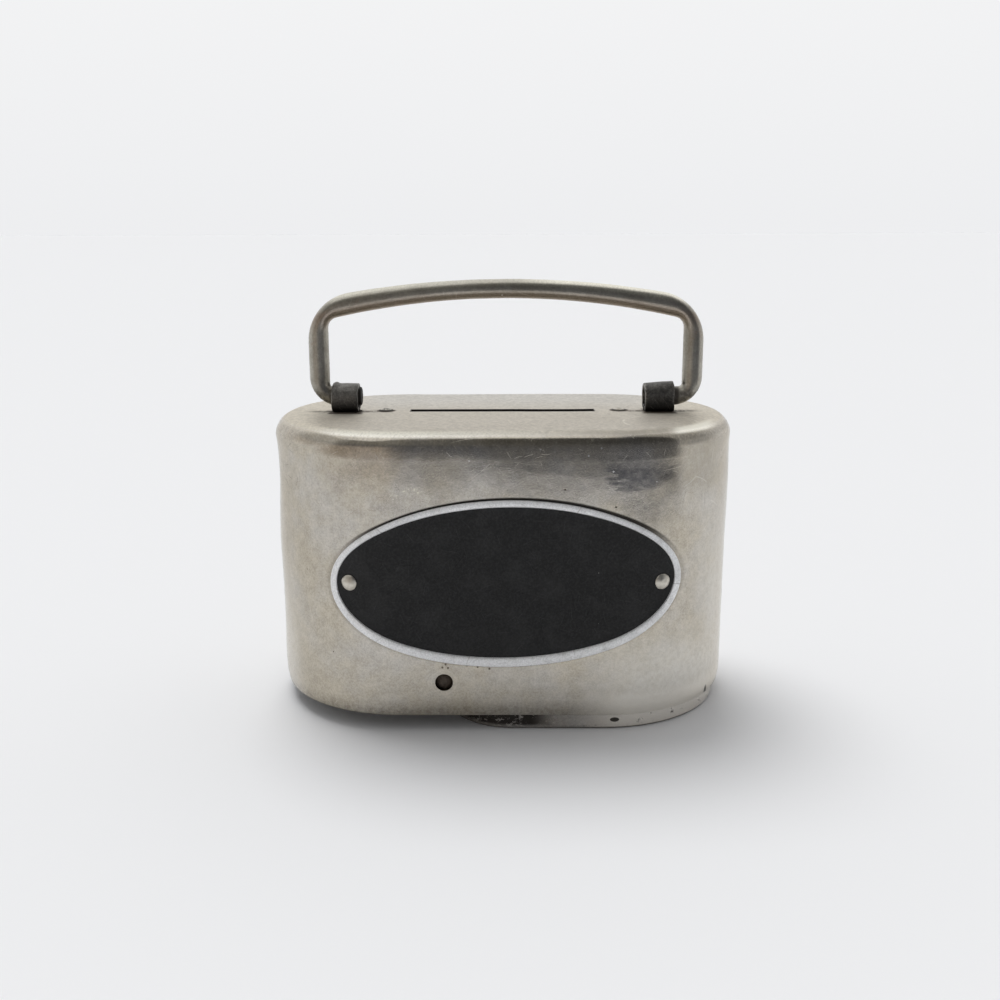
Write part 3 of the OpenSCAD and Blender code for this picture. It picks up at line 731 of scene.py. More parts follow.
dents = [  # place, size and depth; a negative depth stands out
    ((-33, -27, 44), 9, 0.16), ((12, -29, 57), 11, 0.10), ((38, -22, 30), 10, 0.15), ((-8, 29, 40), 12, 0.2),
    ((30, 27, 20), 9, 0.14), ((20, -10, 65), 9, 0.10), ((-24, 8, 65), 8, 0.08), ((49, 8, 38), 8, 0.15),
    ((-51, 0, 53.0), 9, 1.15), ((-51, 0, 36), 9, -0.38), ((-51, 0, 9), 8, -0.3), ((51, 0, 52), 16, -0.28),
    ((29.5, -28, 52), 7, 0.12), ((-29, -28, 61.5), 5, 0.10)]


def ovalRing(radius, left, right, height, alongSides=22, roundEnds=40):
    flat = [(-left + (left + right) * i / alongSides, -radius) for i in range(alongSides)]
    flat += arc((right, 0), radius, -90, 90, roundEnds)[:-1]
    flat += [(right - (left + right) * i / alongSides, radius) for i in range(alongSides)]
    flat += arc((-left, 0), radius, 90, 270, roundEnds)[:-1]
    return [(x, y, height) for x, y in flat]


# From the top's middle, round the rim, to the inside: inset, height, outward and upward share of a dent
def shellProfile(look):
    r, t, e = look["endRadius"], look["sheet"], look["edge"]
    rim, top = look["rim"], look["top"]
    made = [(r * (1 - k / 12) + e * k / 12, top, 0, 1) for k in range(12)]
    for k in range(13):
        angle = math.radians(90 - 90 * k / 12)
        outward, upward = math.cos(angle), math.sin(angle)
        made.append((e - e * outward, top - e + e * upward, outward, upward))
    made += [(0, top - e - (top - e - rim - 0.3) * k / 30, 1, 0) for k in range(1, 31)]
    for a in (30, 60, 90, 120, 150):
        angle = math.radians(a)
        made.append((t / 2 - (t / 2) * math.cos(angle), rim + 0.3 - 0.3 * math.sin(angle), 1, 0))
    made += [(t, rim + 0.3 + (top - e - rim - 0.3) * k / 30, 1, 0) for k in range(0, 30)]
    inner = e - t
    for k in range(13):
        angle = math.radians(90 * k / 12)
        made.append((t + inner - inner * math.cos(angle), top - e + inner * math.sin(angle),
                     math.cos(angle), math.sin(angle)))
    made += [(e + (r - e) * k / 12, top - t, 0, 1) for k in range(1, 13)]
    return made


def makeShell(look):
    r, end, rim, top, e = (look[k] for k in ("endRadius", "endPlace", "rim", "top", "edge"))
    rings = []
    for inset, height, out, up in shellProfile(look):
        ring = []
        bulge = look["bulge"] * max(0.0, 1 - abs(height - (top - e)) / 4.5) ** 2 * out
        tuck = look["tuckIn"] * max(0.0, 1 - (height - rim) / 3.0) ** 2 * out
        for x, y, z in ovalRing(r - inset, end, end, height):
            away = Vector((x - max(-end, min(end, x)), y, 0))
            away = away.normalized() if away.length > 1e-6 else Vector((0, 0, 0))
            skin = Vector((x, y, z))
            proud = bulge * min(1.0, abs(away.x) * 1.4)
            push = wobble(skin, 17, look["waves"]) + wobble(skin, 7, look["waves"] * 0.3, 3.1)
            for centre, size, depth in dents:
                push -= depth * math.exp(-((skin - Vector(centre)).length / size) ** 2 * 2)
            push *= min(1.0, (z - rim) / 6 + 0.25)
            ring.append(tuple(skin + (away * out + Vector((0, 0, up))) * push + away * (proud - tuck)))
        rings.append(ring)
    return ringPiece("shellSkin", rings, (False, False), 0.001)


def plateRivetTurn(side):
    beyond = side * shell["plateShift"] + shell["plateRivet"] - shell["endPlace"]
    return math.degrees(math.asin(beyond / shell["endRadius"]))


def plateRivetFrame(side, out):  # Z points out of the shell
    heart = Matrix.Translation((side * shell["endPlace"], 0, shell["plateMiddle"]))
    turn = Matrix.Rotation(math.radians(side * plateRivetTurn(side)), 4, "Z")
    outward = Matrix.Translation((0, -shell["endRadius"] - out, 0)) @ Matrix.Rotation(math.pi / 2, 4, "X")
    return heart @ turn @ outward


def shellCuts(look):
    half, wide = look["slot"][0] / 2, look["slot"][1] / 2
    top = look["top"]
    cuts = [blockShape((-half, -wide, top - 3), (half, wide, top + 1))]
    place, length, thick = look["strap"]
    for side in (-1, 1):
        left, right = side * place - length / 2, side * place + length / 2
        cuts.append(blockShape((left, -thick, top - 3), (right, thick, top + 1)))
        guard = side * look["guardRivet"]
        cuts.append(rodShape((guard, 0, top - 3), (guard, 0, top + 1), look["rivet"]))
        frameOut = plateRivetFrame(side, 0)
        cuts.append(rodShape(frameOut @ Vector((0, 0, -3)), frameOut @ Vector((0, 0, 1)), look["rivet"]))
    for height in look["endRivets"]:
        cuts.append(rodShape((-shellHigh.x + 3, 0, height), (-shellHigh.x - 1, 0, height), look["rivet"]))
    x, z = look["pin"]
    cuts.append(rodShape((x, -40, z), (x, 40, z), look["pinHole"], count=72))
    return cuts


shellPaint = paintShell(nickel, shellMarks)
shellSkin = makeShell(shell)
combine(shellSkin, "DIFFERENCE", *shellCuts(shell))
smooth(shellSkin, 40)
dress(shellSkin, "shell", "nickel_shell", ["case_shell"], shellPaint)
print("shell made,", len(shellSkin.data.vertices), "points")


# Handle: one bent rod

handleLow, handleHigh = cornersOf("handle")
rod = {
    "diameter": handleHigh.y - handleLow.y,
    "axis": handleLow.z + handleHigh.y,
    "shift": (handleLow.x + handleHigh.x) / 2,
    "leg": (handleHigh.x - handleLow.x) / 2 - handleHigh.y,
    "rise": handleHigh.z - handleLow.z - 2 * handleHigh.y,
    "arches": (210.0, 173.0),  # outer and inner line
    "legInset": 0.28,  # the legs are a little wider than the rod
    "tip": 32.5,
    "uneven": (0.03, 0.012),
    "footBends": (6.5, 0.7),  # outer and inner radius: the rod is drawn thinner in its bends
    "cornerBends": (11.0, 2.4),
    "bright": (0.42, 0.40, 0.35),
    "dull": (0.29, 0.27, 0.225),
    # rust, and the painted reflection under the arch
    "rustAndPaintedUnderside": (0.36, 0.29, 0.235),
    # wear and painted highlight on the top of the arch
    "worn": (0.86, 0.83, 0.72),
    "scratch": (0.68, 0.65, 0.58),
    "speck": (0.9, 0.88, 0.84),
    "pit": (0.05, 0.04, 0.035),
    "grime": (0.05, 0.042, 0.036),
    "tipBlack": (0.012, 0.011, 0.010),
    "pits": [(-13.1, -1.6, 91.4), (-5.4, -1.6, 91.6), (14.3, -1.6, 91.4),
             (18.6, -1.0, 93.1), (28.1, -1.8, 90.5)],
    "specks": [(0.0, -1.6, 91.2), (25.0, -1.6, 90.9), (33.5, -1.6, 90.8)],
    "rough": 0.26,
}


def paintRod(look):
    material, tree = newPaint("handleRod")
    place, flat = millimetres(tree), unrolled(tree)
    x, z = place.axis("X"), place.axis("Z")
    patches = cloud(place, 11, 4, 0.6)
    grain = cloud(place, 0.45, 3, 0.65)
    drawn = cloud(flat, 0.5, 3, 0.6, stretch=(1, 30, 1))
    colour = place.colour(look["bright"])
    colour = colour.tint(patches.fade(0.4, 0.65) * 0.8, look["dull"])
    arch = sum(look["arches"]) / 2
    across, up = x - look["shift"], z - (look["axis"] + look["rise"] - arch)
    above = far(across, up) - arch  # height over the arch's middle line
    high = z.fade(82, 87)
    # wear and a painted highlight along the top of the arch, brighter toward the right
    worn = above.fade(0.2, 1.9) * (0.4 + x.fade(0, 14) * 0.6)
    worn = worn.most(above.fade(1.3, 1.95) * x.fade(16, -30) * 0.7) * high
    # painted reflection: the underside of the arch painted brown
    under = above.fade(0.2, -1.2) * high * 0.7
    rust = cloud(place, 3, 4, 0.7, shift=9).fade(0.56, 0.72)
    colour = colour.tint((rust * 0.5).most(under), look["rustAndPaintedUnderside"])
    lines = strokes(flat, 3.5, 0.08, 0.5, 0.2)
    pits = spots(place, 3.0, 0.14, 0.2, 4.0).most(dots(place, look["pits"], 0.27))
    specks = dots(place, look["specks"], 0.22)
    colour = colour.tint(lines * 0.3, look["scratch"]).tint(worn, look["worn"])
    colour = colour.tint(pits * 0.85, look["pit"]).tint(specks * 0.8, look["speck"])
    colour = colour.shade(0.76 + grain.fade(0.3, 0.7) * 0.22 + drawn * 0.16)
    grime = z.fade(71.5, 69) * cloud(place, 1.2, 3, shift=2).fade(0.35, 0.6)
    grime = (grime * 0.6).most(z.fade(71.2, 70.2) * abs(across).fade(39.4, 38.4) * 0.92)
    colour = colour.tint(grime, look["grime"])
    tip = abs(across).fade(33.3, 32.9) * z.fade(73, 72)
    colour = colour.tint(tip * 0.95, look["tipBlack"])
    grime = grime.most(tip)
    rough = look["rough"] + patches * 0.08 + rust * 0.12 + pits * 0.4 + grime * 0.3
    relief = grain * 0.16 + drawn * 0.12 + cloud(place, 4, 2) * 0.5 - lines * 0.15 - pits * 0.5
    metal = 1.0 - pits * 0.7 - grime * 0.6
    sockets = {"Base Color": colour, "Roughness": rough.least(0.9), "Metallic": metal}
    return finishPaint(material, tree, sockets, relief)


# The outer (+1) or inner (-1) line of the rod, from its right tip to the arch's middle
def rodLine(look, side, foot, corner):
    r = side * look["diameter"] / 2
    leg, level = look["leg"] + r, look["axis"] - r
    arch = look["arches"][0 if side > 0 else 1]
    if side < 0:
        leg -= look["legInset"]
    middle = look["axis"] + look["rise"] + r - arch
    cornerX = leg - corner
    cornerZ = middle + math.sqrt((arch - corner) ** 2 - cornerX ** 2)
    lean = math.degrees(math.asin(cornerX / (arch - corner)))
    made = [(look["tip"] + (leg - foot - look["tip"]) * k / 3, level) for k in range(3)]
    made += arc((leg - foot, level + foot), foot, -90, 0, 12)
    made += [(leg, level + foot + (cornerZ - level - foot) * k / 10) for k in range(1, 10)]
    made += arc((cornerX, cornerZ), corner, 0, 90 - lean, 16)
    return made + arc((0, middle), arch, 90 - lean, 90, 24)[1:]


def makeRod(look):
    outer = rodLine(look, 1, look["footBends"][0], look["cornerBends"][0])
    inner = rodLine(look, -1, look["footBends"][1], look["cornerBends"][1])
    pairs = [(Vector((a, 0, b)), Vector((c, 0, d))) for (a, b), (c, d) in zip(outer, inner)]
    flip = Vector((-1, 1, 1))
    pairs += [(one * flip, two * flip) for one, two in pairs[-2::-1]]
    radius = look["diameter"] / 2
    ends = [(0, 0.72), (0.05, 0.86), (0.16, 0.96), (0.35, 1.0)]  # tip: distance in, share of the radius
    rings = []
    for k, (one, two) in enumerate(pairs):
        centre, reach = (one + two) / 2, (one - two) / 2
        spans = [(0.0, 1.0)]
        if k == 0:
            spans = ends
        if k == len(pairs) - 1:
            spans = [(-inward, share) for inward, share in ends[::-1]]
        for inward, share in spans:
            ring = []
            for u, v in arc((0, 0), 1, 0, 360, 32)[:-1]:
                way = reach * u + Vector((0, radius, 0)) * v
                skin = centre + Vector((inward + look["shift"], 0, 0)) + way * share
                uneven = wobble(skin, 5, look["uneven"][0]) + wobble(skin, 1.7, look["uneven"][1], 2.0)
                ring.append(tuple(skin + way / radius * uneven))
            rings.append(ring)
    return ringPiece("handleRod", rings)


handlePiece = smooth(makeRod(rod), 40)
dress(handlePiece, "handle", "handle_rod", ["handle"], paintRod(rod))
print("handle made")


# Handle straps: a band rolled round the rod, its ends clinched under the top

strap = {
    "ends": ((-38.3, -32.45), (31.95, 38.5)),  # hand-rolled, so each stands a little off its place
    "thick": 1.1,
    "bore": rod["diameter"] + 0.1,
    "axis": rod["axis"],
    "slit": 0.2,
    "tail": 4.5,
    "top": shell["top"],
    "under": shell["top"] - shell["sheet"],
    "bend": 0.7,
    "round": 0.24,
    "uneven": 0.10,
    "flare": 0.2,
    "spur": 0.4,  # at the left strap's outer end
    "low": (-0.34, -0.16),  # the crown lies this much lower than a true round
    "lean": (0.0, 0.22),
    "black": (0.020, 0.0185, 0.0175),
    # painted light on the strap's upper part
    "grey": (0.235, 0.227, 0.21),
    "worn": (0.36, 0.34, 0.31),
    "dust": (0.30, 0.28, 0.24),
}


def paintStrap(look):
    material, tree = newPaint("blackStrap")
    place, flat = millimetres(tree), unrolled(tree)
    x, z = place.axis("X"), place.axis("Z")
    sheen = cloud(place, 2.2, 4, 0.65)
    grain = cloud(place, 0.35, 3, 0.65, shift=3)
    low, high = look["ends"][1]
    ends = abs(abs(x) - (low + high) / 2).fade((high - low) / 2 - 0.55, (high - low) / 2 - 0.1)
    lit = z.fade(66.0, 69.5)
    left = x.fade(20, -20)
    wear = ends * cloud(place, 0.8, 3, 0.7, shift=6).fade(0.40, 0.55) * lit
    lines = strokes(flat, 1.8, 0.06, 0.6, 0.3)
    colour = place.colour(look["black"])
    # painted light: the strap painted grey on its upper part, with a painted sheen, lighter at the left
    colour = colour.tint(lit * (0.25 + sheen.fade(0.36, 0.66) * 0.4 + left * 0.35), look["grey"])
    colour = colour.tint((wear * 0.6).most(lines * 0.3), look["worn"])
    dust = spots(place, 0.9, 0.08, 0.2)
    colour = colour.tint(dust * 0.5, look["dust"]).shade(0.70 + grain.fade(0.3, 0.7) * 0.55)
    rough = 0.46 - sheen * 0.16 + grain * 0.14 - wear * 0.1 + dust * 0.3
    relief = grain * 0.4 + sheen * 0.5 - lines * 0.2
    sockets = {"Base Color": colour, "Roughness": rough, "Metallic": 0.75 - dust * 0.5}
    return finishPaint(material, tree, sockets, relief, 0.08)


# Middle of the band in the YZ plane: tail, slit, flat foot, straight side, crown, and back
def strapPath(look):
    ring = look["bore"] / 2 + look["thick"] / 2
    leg = (look["slit"] + look["thick"]) / 2
    axis, bend = look["axis"], look["bend"]
    tailZ = look["under"] - look["thick"] / 2
    footZ = look["top"] + 0.02 + look["thick"] / 2
    half = [(look["tail"] + look["thick"] - 0.02, tailZ), (look["tail"] * 0.5 + 0.6, tailZ)]
    half += [(leg + bend + 0.3, tailZ)]
    half += arc((leg + bend, tailZ + bend), bend, -90, -180, 6)
    half += arc((leg + 0.56, footZ - 0.56), 0.56, 180, 90, 5)
    half += arc((ring - bend, footZ + bend), bend, -90, 0, 6)
    half += [(ring, footZ + bend + (axis - footZ - bend) * k / 4) for k in range(1, 4)]
    half += arc((0, axis), ring, 0, 90, 16)
    return half + [(-y, z) for y, z in half[-2::-1]]


def makeStrap(look, side):
    path = [Vector((0, y, z)) for y, z in strapPath(look)]
    number = 0 if side < 0 else 1
    start, end = look["ends"][number]
    half, middle = (end - start) / 2, (start + end) / 2
    thick, soft = look["thick"] / 2, look["round"]
    section = []
    for cx, cn, first in ((half - soft, thick - soft, 0), (-half + soft, thick - soft, 90),
                          (-half + soft, -thick + soft, 180), (half - soft, -thick + soft, 270)):
        section += arc((cx, cn), soft, first, first + 90, 4)
    flatRuns = []
    for a, b in zip(section, section[1:] + section[:1]):
        flatRuns.append(a)
        if abs(a[0] - b[0]) > 2:  # points along the wide faces, so that they can be uneven
            flatRuns += [(a[0] + (b[0] - a[0]) * k / 12, a[1] + (b[1] - a[1]) * k / 12) for k in range(1, 12)]
    rings = []
    for k, point in enumerate(path):
        ahead = (path[min(k + 1, len(path) - 1)] - path[max(k - 1, 0)]).normalized()
        out = Vector((1, 0, 0)).cross(ahead)
        above = point.z > look["top"] + 0.5
        crown = max(0.0, (point.z - look["axis"]) / (look["bore"] / 2 + thick)) ** 2
        ring = []
        for across, deep in flatRuns:
            skin = Vector((middle + across, 0, 0)) + point + out * deep
            uneven, flare = 0.0, 0.0
            if above:
                uneven = wobble(skin, 1.9, look["uneven"], 1.5 * side)
                flare = look["flare"] * (across / half) * wobble(skin, 2.2, 1.0, 4.0 + side)
            outer = 1.0 if deep < 0 else 0.0
            level = (look["low"][number] + look["lean"][number] * across / half) * crown
            if side < 0:
                level += look["spur"] * math.exp(-((across + half - 0.9) / 0.5) ** 2) * crown ** 3
            ring.append(tuple(skin - out * (level - uneven * 0.6) * outer + Vector((flare, 0, 0))))
        rings.append(ring)
    return ringPiece("strapLeft" if side < 0 else "strapRight", rings)


strapPaint = paintStrap(strap)
for side, node in ((-1, "handle_strap_left"), (1, "handle_strap_right")):
    dress(smooth(makeStrap(strap, side), 45), "shell", "black_strap", [node], strapPaint)
print("straps made")


# Nameplate: an oval sheet wrapped round the front, bright rim, dark bare field

plate = {
    "half": ((plateHigh.x - plateLow.x) / 2, (plateHigh.z - plateLow.z) / 2),
    "shift": shell["plateShift"],
    "middle": shell["plateMiddle"],
    "tilt": shell["plateTilt"],
    "thick": 0.8,
    "rim": 1.4,
    "rimLow": 2.0,  # the rim is wider below
    "relief": 0.25,
    "soft": 0.14,
    "uneven": 0.03,
    "black": (0.0145, 0.0145, 0.015),
    "grey": (0.036, 0.036, 0.0365),
    "line": (0.085, 0.085, 0.086),
    "longLine": (0.004, 0.004, 0.004),
    "speck": (0.4, 0.4, 0.38),
    "metal": (0.93, 0.935, 0.94),
    "dull": (0.60, 0.60, 0.58),
    "scratch": (0.36, 0.35, 0.34),
    "dirt": (0.12, 0.10, 0.08),
    "rust": (0.20, 0.075, 0.05),
    "wall": (0.03, 0.029, 0.028),
}


def paintField(look):
    material, tree = newPaint("plateField")
    place = millimetres(tree)
    flat = place.node("ShaderNodeCombineXYZ", {}, {0: place.axis("X"), 1: place.axis("Z")})
    grain = cloud(place, 0.45, 4, 0.75)
    smear = cloud(place, 6, 4, 0.6)
    lines = strokes(flat, 3.4, 0.045, 0.7, 0.2)
    long = strokes(flat, 6.5, 0.05, 0.7, 0.1, 5.0)
    colour = place.colour(look["black"])
    colour = colour.tint(grain.fade(0.38, 0.68) * 0.55 + smear.fade(0.45, 0.65) * 0.3, look["grey"])
    colour = colour.tint(lines * 0.28, look["line"]).tint(long * 0.7, look["longLine"])
    specks = spots(place, 3.4, 0.10, 0.16)
    colour = colour.tint(specks * 0.7, look["speck"])
    rough = 0.44 + smear * 0.14 + grain * 0.14
    relief = grain * 0.4 - lines * 0.2 - long * 0.3 + specks * 0.3
    sockets = {"Base Color": colour, "Roughness": rough, "Specular IOR Level": 0.2}
    return finishPaint(material, tree, sockets, relief, 0.04)


def paintPlateRim(look):
    material, tree = newPaint("plateRim")
    place = millimetres(tree)
    x, y, z = (place.axis(name) for name in "XYZ")
    flat = place.node("ShaderNodeCombineXYZ", {}, {0: x, 1: z})
    grain = cloud(place, 0.35, 3, 0.7)
    smear = cloud(place, 4, 3, 0.6, shift=5)
    lines = strokes(flat, 2.4, 0.07, 0.45, 0.3)
    gash = strokes(flat, 13, 0.14, 0.5, 0.1, 2.6)
    colour = place.colour(look["metal"])
    colour = colour.tint(smear.fade(0.5, 0.75) * 0.4, look["dull"]).shade(0.80 + grain.fade(0.3, 0.7) * 0.22)
    colour = colour.tint((lines * 0.35).most(gash * 0.6), look["scratch"])
    specks = spots(place, 2.2, 0.12, 0.22, 6.0)
    rust = blotch(x, z, (24.6, 17.9), 0.75, 0.6) * cloud(place, 0.5, 3, shift=2).fade(0.4, 0.55)
    colour = colour.tint(specks * 0.7, look["dirt"]).tint(rust, look["rust"])
    beyond = (abs(x) - shell["endPlace"]).most(0.0)
    out = far(beyond, y) - shell["endRadius"]  # how far out of the shell's skin
    wall = out.fade(look["thick"] - 0.16, look["thick"] - 0.34)
    colour = colour.tint(wall * 0.92, look["wall"])
    rough = 0.38 + smear * 0.12 + grain * 0.10 + lines * 0.1 + rust * 0.4 + wall * 0.2
    relief = grain * 0.35 - lines * 0.3 - gash * 0.5 - specks * 0.3
    metal = 0.75 - rust.most(specks).most(wall) * 0.6
    return finishPaint(material, tree, {"Base Color": colour, "Roughness": rough, "Metallic": metal}, relief)


# A place of the front view, pushed back to so far out of the shell's skin
def onFrontSkin(x, z, out):
    reach = shell["endRadius"] + out
    beyond = max(0.0, abs(x) - shell["endPlace"])
    return (x, -math.sqrt(reach ** 2 - beyond ** 2), z)


def plateRing(look, inset, out, share, count=144):
    tilt = math.radians(look["tilt"])
    ring = []
    for k in range(count):
        angle = 2 * math.pi * k / count
        lower = (look["rimLow"] - look["rim"]) / 2 * min(1.0, inset / look["rim"])
        a, b = look["half"][0] - inset, look["half"][1] - inset - lower
        x, z = a * math.cos(angle) * share, b * math.sin(angle) * share + lower
        turnedX = x * math.cos(tilt) - z * math.sin(tilt) + look["shift"]
        turnedZ = x * math.sin(tilt) + z * math.cos(tilt) + look["middle"]
        uneven = wobble((turnedX, 0, turnedZ), 9, look["uneven"]) if out > 0.3 else 0.0
        ring.append(onFrontSkin(turnedX, turnedZ, out + uneven))
    return ring


def makePlate(look):
    thick, rim, soft = look["thick"], look["rim"], look["soft"]
    field = thick - look["relief"]
    # inset, height over the shell's skin, share of the oval; from the middle of the back to that of the field
    steps = [(0, 0.02, share) for share in (0.02, 0.25, 0.5, 0.75, 1)] + [(0, thick - soft, 1)]
    for a in (30, 60, 90):
        angle = math.radians(a)
        steps.append((soft - soft * math.cos(angle), thick - soft + soft * math.sin(angle), 1))
    steps += [(rim * 0.5, thick + 0.015, 1), (rim - soft, thick, 1), (rim - 0.04, thick - 0.07, 1),
              (rim + 0.02, field + 0.03, 1), (rim + 0.09, field, 1)]
    shares = (0.93, 0.86, 0.78, 0.7, 0.6, 0.5, 0.4, 0.3, 0.2, 0.1, 0.02)
    steps += [(rim + 0.09, field, share) for share in shares]
    rings = [plateRing(look, *step) for step in steps]
    piece = ringPiece("nameplateBare", rings)
    edge = len([s for s in steps if s[1] > field + 0.01 or s[2] < 1 and s[1] < 0.1]) + 1
    count = len(rings[0])
    frontCap = count * (len(rings) - 1) + 1
    for face in piece.data.polygons[:]:
        inField = face.index // count >= edge or face.index == frontCap
        face.material_index = 0 if inField else 1
    return piece


def plateHoles():
    holes = []
    for side in (-1, 1):
        frameOut = plateRivetFrame(side, 0)
        holes.append(rodShape(frameOut @ Vector((0, 0, -1)), frameOut @ Vector((0, 0, 2)), shell["rivet"]))
    return holes


platePiece = makePlate(plate)
platePiece.data.materials.append(paintField(plate))
platePiece.data.materials.append(paintPlateRim(plate))
combine(platePiece, "DIFFERENCE", *plateHoles())
smooth(platePiece, 35)
dress(platePiece, "shell", "nameplate", ["nameplate"])
print("nameplate made")


# Rivets: domed heads, shanks and flat tails

rivetSizes = {
    "head": 3.4,
    "height": 0.55,
    "shank": shell["rivet"],
    "tail": 0.5,
    "plateOut": plate["thick"] - plate["relief"],
    "bright": (0.66, 0.63, 0.56),
    "dull": (0.40, 0.36, 0.30),
    "dark": (0.035, 0.03, 0.026),
}
endRivetSizes = {
    **rivetSizes,
    "head": 2.6,
    "tail": 0.7,
    "bright": (0.30, 0.27, 0.23),
    "dull": (0.12, 0.10, 0.085),
}


# A worn rivet, 1, has dirt and painted shadow round its head and dark breaks in it; an unworn one, 0, has
# neither
def paintRivet(look, name, worn):
    material, tree = newPaint(name)
    place = millimetres(tree)
    grain = cloud(place, 0.4, 3, 0.65)
    patches = cloud(place, 1.6, 3, 0.6, shift=4)
    colour = place.colour(look["bright"])
    colour = colour.tint(patches.fade(0.4, 0.65) * (0.4 + worn * 0.4), look["dull"])
    colour = colour.shade(0.82 + grain * 0.3)
    pits = spots(place, 0.9, 0.12, 0.35)
    if worn:
        x, y = place.axis("X"), place.axis("Y")
        away = far(abs(x) - shell["guardRivet"], y)
        # dirt and painted shadow: a dark ring round the edge of the head
        outline = away.fade(look["head"] / 2 - 0.55, look["head"] / 2 - 0.3)
        heart = away.fade(0.75, 0.35) * (0.2 + x.fade(5, -5) * 0.75)
        breaks = cloud(place, 0.7, 3, 0.75, shift=9).fade(0.48, 0.58) * x.fade(5, -5)
        pits = pits.most(outline).most(heart * 0.9).most(breaks)
    colour = colour.tint(pits * 0.95, look["dark"])
    rough = 0.28 + patches * 0.15 + grain * 0.08 + pits * 0.3
    relief = grain * 0.2 + patches * 0.8 - pits * 0.6
    sockets = {"Base Color": colour, "Roughness": rough, "Metallic": 1 - pits * 0.85}
    return finishPaint(material, tree, sockets, relief, 0.06)


def rivetProfile(look, grip, height):
    head, tail, shank = look["head"], look["tail"], look["shank"] / 2 - 0.01
    ball = (head * head / 4 + height * height) / (2 * height)
    edge = math.asin(head / 2 / ball)
    lip = 0.10
    dome = []
    for k in range(10):
        level = height - ball + ball * math.cos(edge * k / 9)
        dome.append((ball * math.sin(edge * k / 9), lip + level * (height - lip) / height))
    return dome + [(head / 2, lip * 0.5), (head / 2 - 0.04, 0.0), (shank, 0.0), (shank, -grip),
                   (head / 2 - 0.05, -grip), (head / 2, -grip - 0.1), (head / 2, -grip - tail + 0.1),
                   (head / 2 - 0.12, -grip - tail), (0.0, -grip - tail)]


def makeRivet(name, look, matrix, grip, height, seed):
    rings = lathe(rivetProfile(look, grip, height), 40)
    uneven = []
    for ring in rings:
        row = []
        for x, y, z in ring:
            if z > 0.05:
                z += wobble((x, y, seed), 0.9, 0.07, seed) * min(1.0, z / 0.3)
                grow = 1 + wobble((x, y, 0), 1.4, 0.05, seed)
                x, y = x * grow, y * grow
            row.append((x, y, z))
        uneven.append(row)
    return smooth(ringPiece(name, placed(uneven, matrix)), 50)


guardPaint = paintRivet(rivetSizes, "guardRivet", 1)
platePaint = paintRivet(rivetSizes, "plateRivet", 0)
endPaint = paintRivet(endRivetSizes, "endRivet", 0)
headHigh, plateOut = rivetSizes["height"], rivetSizes["plateOut"]
for side, word in ((-1, "Left"), (1, "Right")):
    place = Matrix.Translation((side * shell["guardRivet"], 0, shell["top"]))
    piece = makeRivet("guardRivet" + word, rivetSizes, place, shell["sheet"] + 0.8, headHigh, 2.3 + side)
    dress(piece, "shell", "rivet_nickel", ["guard_rivets"], guardPaint)
    place = plateRivetFrame(side, plateOut)
    grip = shell["sheet"] + plateOut + 0.05
    piece = makeRivet("plateRivet" + word, rivetSizes, place, grip, headHigh + 0.15, 5.1 + side)
    dress(piece, "shell", "rivet_nickel", ["nameplate_rivets"], platePaint)
for height, word in zip(shell["endRivets"], ("Low", "High")):
    place = Matrix.Translation((shellLow.x, 0, height)) @ Matrix.Rotation(-math.pi / 2, 4, "Y")
    piece = makeRivet("endRivet" + word, endRivetSizes, place, shell["sheet"] + 1.05, headHigh, height)
    dress(piece, "shell", "rivet_nickel", ["end_rivets"], endPaint)
print("rivets made")


# Cross pin that the pan turns on

crossPin = {
    "diameter": 3.8,
    "place": shell["pin"],
    "half": pinHigh.y,
    "dome": 0.6,
    "steel": (0.085, 0.07, 0.058),
    "rust": (0.04, 0.028, 0.02),
}


def paintDark(look, name):
    material, tree = newPaint(name)
    place = millimetres(tree)
    grain = cloud(place, 0.4, 4, 0.7)
    patches = cloud(place, 1.8, 4, 0.65, shift=3)
    colour = place.colour(look["steel"])
    colour = colour.tint(patches.fade(0.38, 0.6), look["rust"]).shade(0.7 + grain * 0.6)
    metal = 1 - patches.fade(0.45, 0.65) * 0.6
    sockets = {"Base Color": colour, "Roughness": 0.36 + patches * 0.3, "Metallic": metal}
    return finishPaint(material, tree, sockets, grain * 0.5 + patches, 0.07)


def makePin(look):
    r, half, dome = look["diameter"] / 2 - 0.01, look["half"], look["dome"]
    end = []
    for a in range(2, 91, 8):
        angle = math.radians(a)
        end.append((r * math.sin(angle), half - dome + dome * math.cos(angle)))
    profile = end + [(r, half - dome - (half - dome) * 2 * k / 12) for k in range(1, 12)]
    profile += [(radius, -height) for radius, height in end[::-1]]
    matrix = Matrix.Translation((look["place"][0], 0, look["place"][1]))
    return smooth(ringPiece("crossPin", placed(lathe(profile, 48, "Y"), matrix)), 50)


dress(makePin(crossPin), "shell", "dark_pin", ["hinge_pin"], paintDark(crossPin, "darkPin"))
print("cross pin made")


# Bottom pan: two shallow cups in one pressing, foot and tail

